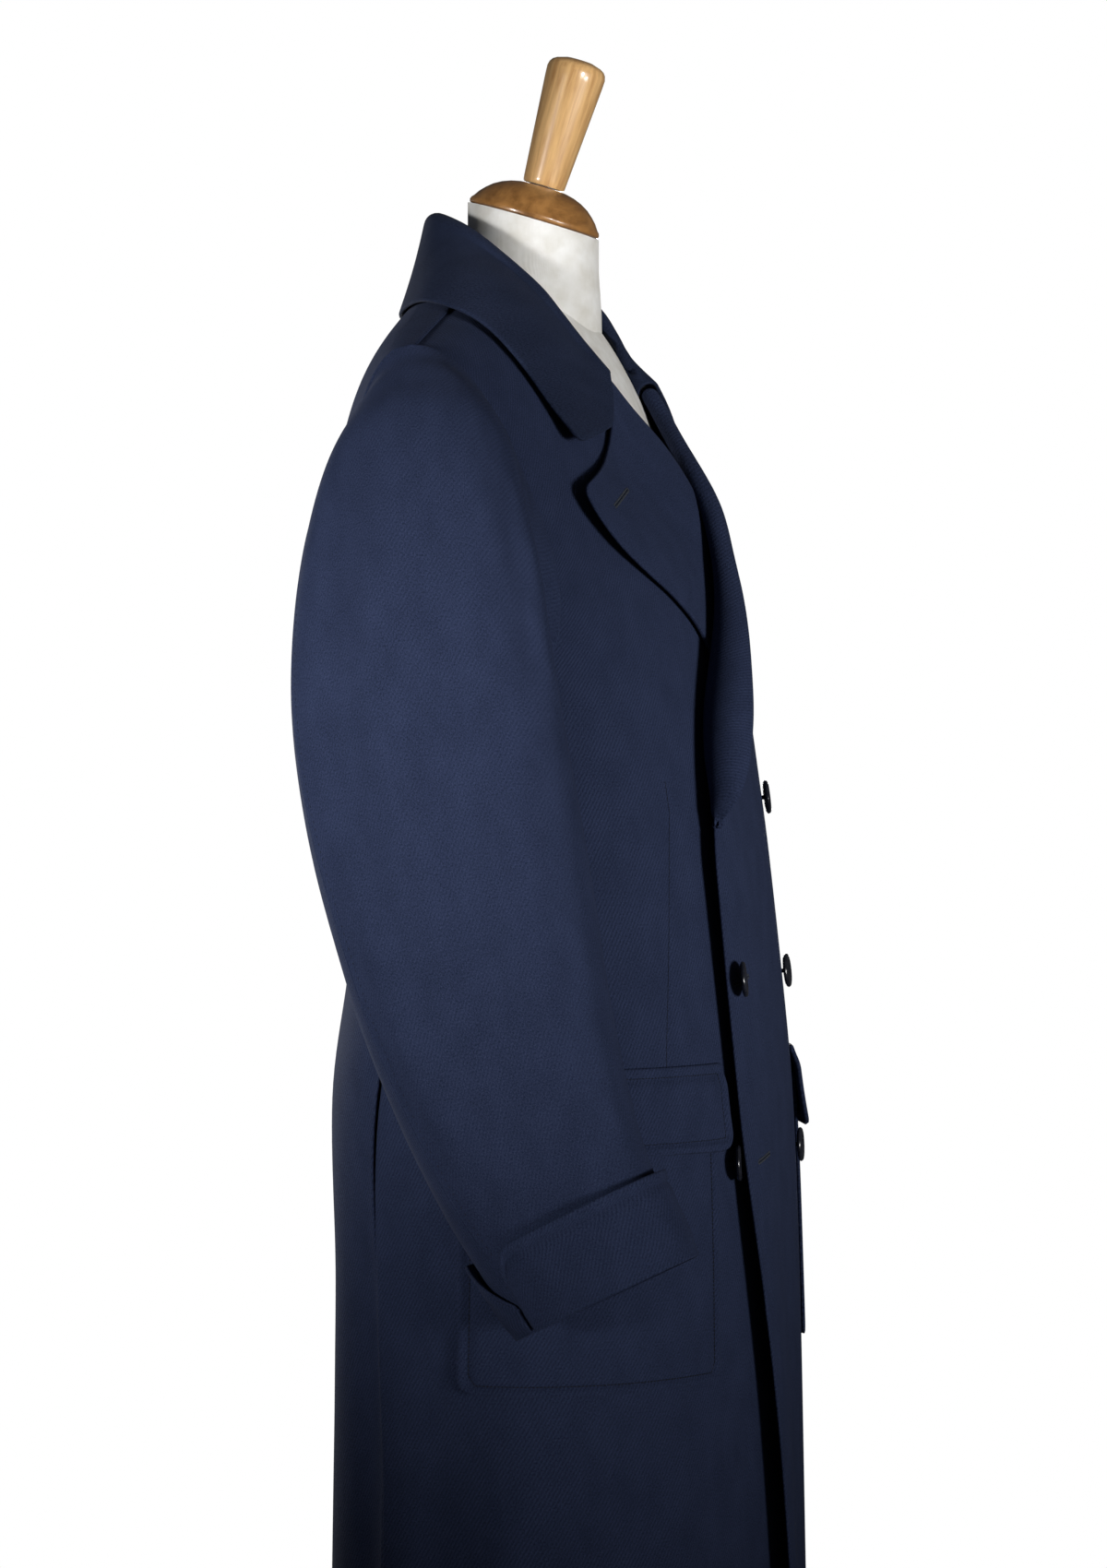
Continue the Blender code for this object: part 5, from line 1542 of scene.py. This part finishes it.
def border(size, stitch, open_top):
    """The raised rim and the sewn groove inside a patch's sides and lower edge, or round all four."""
    def relief(u, v):
        down = 1 - (1 - v) ** PATCH_CROWDING
        near = min(u * size[0], (1 - u) * size[0], (1 - down) * size[1])
        if not open_top:
            near = min(near, down * size[1])
        return groove(near - stitch, *PATCH_GROOVE) - groove(near - stitch * 0.45, *PATCH_RIM)
    return relief


for side, word in SIDES:
    surface = patch_surface(side, POCKET_FRONT_ANGLE, POCKET_BACK_ANGLE, POCKET_TOP, POCKET_BOTTOM,
                            POCKET_CORNER, pocket_height)
    pocket = cut_cloth("coat_pocket_" + word, 48, 40, surface, border(POCKET_CUT, POCKET_STITCH, True), -side, wool,
                       crowd=(0.75, 0.0), rightward=side)
    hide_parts("pocket_" + word)
    sewn_row("pocket_seam_" + word, pocket, patch_route(surface, POCKET_CUT, POCKET_STITCH, True), *POCKET_SEWING)
    surface = patch_surface(side, FLAP_FRONT_ANGLE, FLAP_BACK_ANGLE, FLAP_TOP, FLAP_BOTTOM, FLAP_CORNER, flap_height)
    flap = cut_cloth("coat_flap_" + word, 48, 26, surface, border(FLAP_CUT, FLAP_STITCH, False), -side, wool,
                     crowd=(0.75, 0.3), thickness=FLAP_CLOTH, rightward=side)
    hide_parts("flap_" + word)
    sewn_row("flap_seam_" + word, flap, patch_route(surface, FLAP_CUT, FLAP_STITCH, False), *FLAP_SEWING)


# ---------------------------------------------------------------- the buttons
# Five four-hole buttons turned from dark polished horn, each sewn on through its holes.
def horn_material():
    material, tree, shader = new_material("dark_button", 0.22)
    place = add_node(tree, "ShaderNodeTexCoord")
    cloud = add_node(tree, "ShaderNodeTexNoise", Scale=160, Detail=5)
    wire(tree, place.outputs["Object"], cloud.inputs["Vector"])
    tone = colour_ramp(tree, cloud.outputs["Fac"], (0.006, 0.007, 0.012, 1), (0.030, 0.032, 0.045, 1), 0.35, 0.75)
    wire(tree, tone, shader.inputs["Base Color"])
    return material


BUTTON_RADIUS = 0.0125
BUTTON_THICK = 0.0042
BUTTON_DISH = 0.0015
BUTTON_HOLE = 0.00095
BUTTON_HOLE_OFF = 0.0022  # from the centre, along both of the button's own axes
BUTTON_SHANK = 0.0005
THREAD_RADIUS = 0.00040
THREAD_SPACING = 0.0005
BUTTONS = [               # name, the front it lies on, x to that front's side, level, height off, turn
    ("button_left_top", LEFT, 0.088, 1.120, BUTTON_SHANK + 0.0010, 4.0),
    ("button_left_middle", LEFT, 0.088, 0.993, BUTTON_SHANK + 0.0014, -6.0),
    ("button_left_low", LEFT, 0.088, 0.866, BUTTON_SHANK + 0.0010, -3.0),
    ("button_right_middle", LEFT, -0.088, 0.993, 0.0050, 26.0),
    ("button_right_low", RIGHT, 0.093, 0.868, 0.0046, 26.0),
]
FRONT_HOLES = [           # name, start x and level, end x and level on the left front
    ("buttonhole_middle", -0.0885, 0.9905, -0.0640, 0.9950),
    ("buttonhole_low", -0.0735, 0.8670, -0.0480, 0.8712),
]


def button_mesh():
    """A turned button with a rolled rim and a dished face, drilled with four holes."""
    floor_level = BUTTON_THICK - BUTTON_DISH
    outline = [(0.0, floor_level), (0.39, floor_level), (0.54, BUTTON_THICK - BUTTON_DISH * 0.86),
               (0.66, BUTTON_THICK - BUTTON_DISH * 0.40), (0.72, BUTTON_THICK - 0.0001), (0.80, BUTTON_THICK),
               (0.90, BUTTON_THICK - 0.0003), (0.965, BUTTON_THICK - 0.0009), (1.0, BUTTON_THICK * 0.55),
               (0.965, BUTTON_THICK * 0.30), (0.85, BUTTON_THICK * 0.10), (0.56, 0.0), (0.0, 0.0)]
    blank = turned([(BUTTON_RADIUS * share, height) for share, height in outline], 48)
    button = keep_mesh("button_blank", blank, horn, 35)
    drills = bmesh.new()
    for x in (-BUTTON_HOLE_OFF, BUTTON_HOLE_OFF):
        for y in (-BUTTON_HOLE_OFF, BUTTON_HOLE_OFF):
            bmesh.ops.create_cone(drills, cap_ends=True, segments=16, radius1=BUTTON_HOLE, radius2=BUTTON_HOLE,
                                  depth=0.012, matrix=Matrix.Translation((x, y, 0.002)))
    drill = keep_mesh("button_drill", drills, horn)
    drilling = button.modifiers.new("holes", "BOOLEAN")
    drilling.object = drill
    drilled = bpy.data.meshes.new_from_object(button.evaluated_get(bpy.context.evaluated_depsgraph_get()))
    bpy.data.objects.remove(button)
    bpy.data.objects.remove(drill)
    return drilled


def thread_shank(bm):
    """Three turns of thread from hole to hole on each side, and the wound shank under the button."""
    face = BUTTON_THICK - BUTTON_DISH + 0.0003
    for x in (-BUTTON_HOLE_OFF, BUTTON_HOLE_OFF):
        for strand in (-1, 0, 1):
            add_stitch(bm, Vector((x + strand * THREAD_SPACING, 0, face)), Vector((0, 1, 0)), Vector((0, 0, 1)),
                       BUTTON_HOLE_OFF + 0.0003, THREAD_RADIUS)
    bmesh.ops.create_cone(bm, cap_ends=True, segments=12, radius1=0.0014, radius2=0.0017, depth=0.0050,
                          matrix=Matrix.Translation((0, 0, -0.0018)))


horn = horn_material()
drilled = button_mesh()
for name, side, x, level, out, turn in BUTTONS:
    point, normal = front_place(side, x, level, out)
    normal = Matrix.Rotation(math.radians(turn), 3, "Z") @ normal
    lie = Matrix.Translation(point) @ Vector((0, 0, 1)).rotation_difference(normal).to_matrix().to_4x4()
    bm = bmesh.new()
    bm.from_mesh(drilled)
    bmesh.ops.transform(bm, matrix=lie, verts=list(bm.verts))
    button = keep_mesh("coat_" + name, bm, horn, 35)
    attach(button, "root")
    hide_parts(name)
    bm = bmesh.new()
    thread_shank(bm)
    bmesh.ops.transform(bm, matrix=lie, verts=list(bm.verts))
    shank = keep_mesh(name + "_thread", bm, navy_thread_and_seam_shade, 60)
    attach(shank, "root")

for name, start_x, start_level, end_x, end_level in FRONT_HOLES:
    start, normal = seated(fronts[LEFT], *front_place(LEFT, start_x, start_level))
    end, _ = seated(fronts[LEFT], *front_place(LEFT, end_x, end_level))
    buttonhole(name, fronts[LEFT], start, end, normal)
